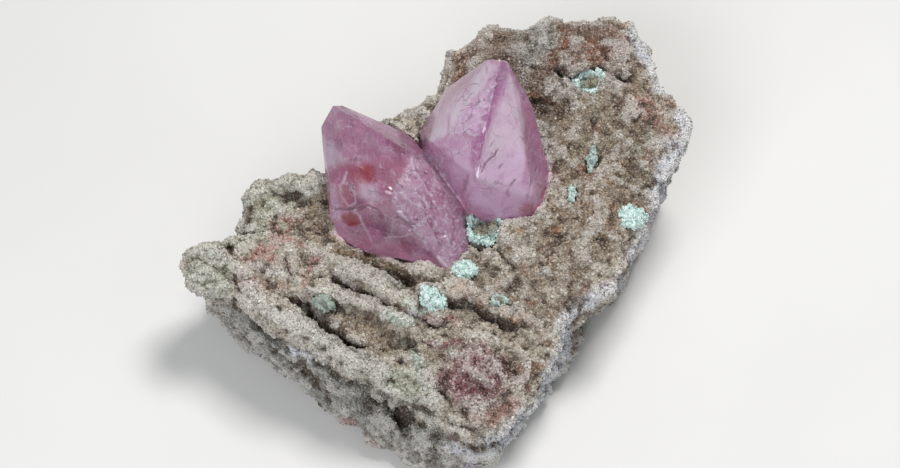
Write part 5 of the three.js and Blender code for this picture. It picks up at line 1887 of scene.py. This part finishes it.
PLAIN_HABIT = CrustHabit()
CRUST_HABITS = {
    "crust_between_crystals": CrustHabit(heart=0.62, lift=1.2 * MM),
    "crust_in_top_cavity": CrustHabit(heart=0.50),
    "crust_below_block": CrustHabit(heart=0.45, dull=0.35),
    "crust_in_left_trough": CrustHabit(dull=0.75),
    "crust_streak_upper": CrustHabit(dull=0.45, slim=0.50),
    "crust_streak_lower": CrustHabit(dull=0.25, slim=0.55),
}

# The way up the crystal: towards the back, and up.
UP_THE_CRYSTAL = (0.6, 0.8)


@dataclass
class GreenCrust:
    """One green crust, remeshed from its solid into a ragged clump, some with a grey heart."""

    node: bpy.types.Object
    material: bpy.types.Material
    habit: CrustHabit = PLAIN_HABIT
    voxel: float = 0.14 * MM
    clump: float = 1.1 * MM
    globule: float = 0.5 * MM
    moat_depth: float = 0.7
    moat_width: float = 0.14
    heart_depth: float = 0.15
    heart_fade: float = 0.12

    def build(self) -> bpy.types.Object:
        """Makes the crust's piece.

        Returns:
            The finished piece.
        """
        crust = merged_copy(self.node, self.node.name.replace("crust_", "green_crust_"))
        apply_modifier(crust, "REMESH", mode="VOXEL", voxel_size=self.voxel)
        for texture, rise in (
            (cloud("CLOUDS", "clumps", self.clump, noise_depth=3), 1.9 * self.clump),
            (cloud("VORONOI", "globules", self.globule), -0.3 * self.globule),
            (cloud("CLOUDS", "crumbs", 0.6 * self.globule, noise_depth=2), 1.1 * self.globule),
        ):
            apply_modifier(
                crust, "DISPLACE", texture=texture, strength=rise, mid_level=0.5,
                texture_coords="LOCAL",
            )
        self._hollow_heart(crust)
        self._place(crust)
        places = corners_of(crust)
        inward = np.einsum("ij,ij->i", smoothed(crust, places, 20) - places, normals_of(crust))
        store(crust, "hollow", inward / MM)
        store(crust, "dull", np.full(len(places), self.habit.dull))
        crowns = np.clip(0.4 - inward / (0.15 * MM), 0.0, 1.0)
        store(crust, "globes", crowns * (1.0 - self.habit.dull))
        crust.data.shade_smooth()
        dress(crust, self.material)
        put_on(crust, Slot.CRUST, self.node.name)
        return crust

    def _place(self, crust: bpy.types.Object) -> None:
        """Narrows a streak, or lifts a crust that creeps up the crystal behind it."""
        places = corners_of(crust)
        middle = places.mean(axis=0)
        places[:, 0] = middle[0] + (places[:, 0] - middle[0]) * self.habit.slim
        places[:, 1:] += np.array(UP_THE_CRYSTAL) * self.habit.lift
        move_corners(crust, places)

    def _hollow_heart(self, crust: bpy.types.Object) -> None:
        """Sinks a ring round a grey lump in the middle, where the crust has one."""
        places = corners_of(crust)
        core = np.zeros(len(places))
        if self.habit.heart:
            low, high = (np.array(corner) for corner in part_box(self.node.name))
            middle = (low + high) / 2
            across, along = np.abs((places - middle)[:, :2] / ((high - low)[:2] / 2)).T
            share = np.maximum(across * 0.9 + along * 0.3, along * 0.9 + across * 0.3)
            core = np.clip((self.habit.heart - share) / self.heart_fade, 0.0, 1.0)
            moat = np.clip(1.0 - np.abs(share - self.habit.heart) / self.moat_width, 0.0, 1.0)
            places[:, 2] -= (self.moat_depth * moat + self.heart_depth * core) * MM
            move_corners(crust, places)
        store(crust, "core", core)


@dataclass
class CrustSet:
    """All the green crusts, and the small globules that stud them."""

    nodes: dict[str, bpy.types.Object]
    finish: CrustFinish
    globule_spacing: float = 0.30 * MM
    globule_size: tuple[float, float] = (0.25, 0.60)

    def build(self) -> None:
        """Makes each crust, then one joined layer of globules over them all."""
        material = self.finish.material()
        crusts = [
            GreenCrust(node, material, CRUST_HABITS.get(name, PLAIN_HABIT)).build()
            for name, node in self.nodes.items()
            if name.startswith("crust_")
        ]
        bpy.ops.object.select_all(action="DESELECT")
        copies = [copy_of(crust, f"{crust.name}_ground") for crust in crusts]
        for ground in copies:
            ground.select_set(True)
        bpy.context.view_layer.objects.active = copies[0]
        bpy.ops.object.join()
        Druse(
            "crust_globules", GrainShape.GLOBULE, spacing=self.globule_spacing,
            size=self.globule_size, mask="globes", seed=13, finish=material, slot=Slot.CRUST,
        ).build(copies[0])
        bpy.data.objects.remove(copies[0])


def main() -> None:
    """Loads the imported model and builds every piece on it."""
    logging.basicConfig(level=logging.INFO, format="%(name)s: %(message)s")
    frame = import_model()
    nodes = frame["nodes"]
    Studio().build()

    palette = MatrixPalette()
    crystals = nodes["calcite_crystals"]
    rock = MatrixRock(nodes["matrix_rock"], crystals, RockFinish(palette)).build()
    RockCoat(palette).build(rock)
    CrystalPair(crystals, CalciteFinish()).build()
    CrustSet(nodes, CrustFinish()).build()


if __name__ == "__main__":
    main()
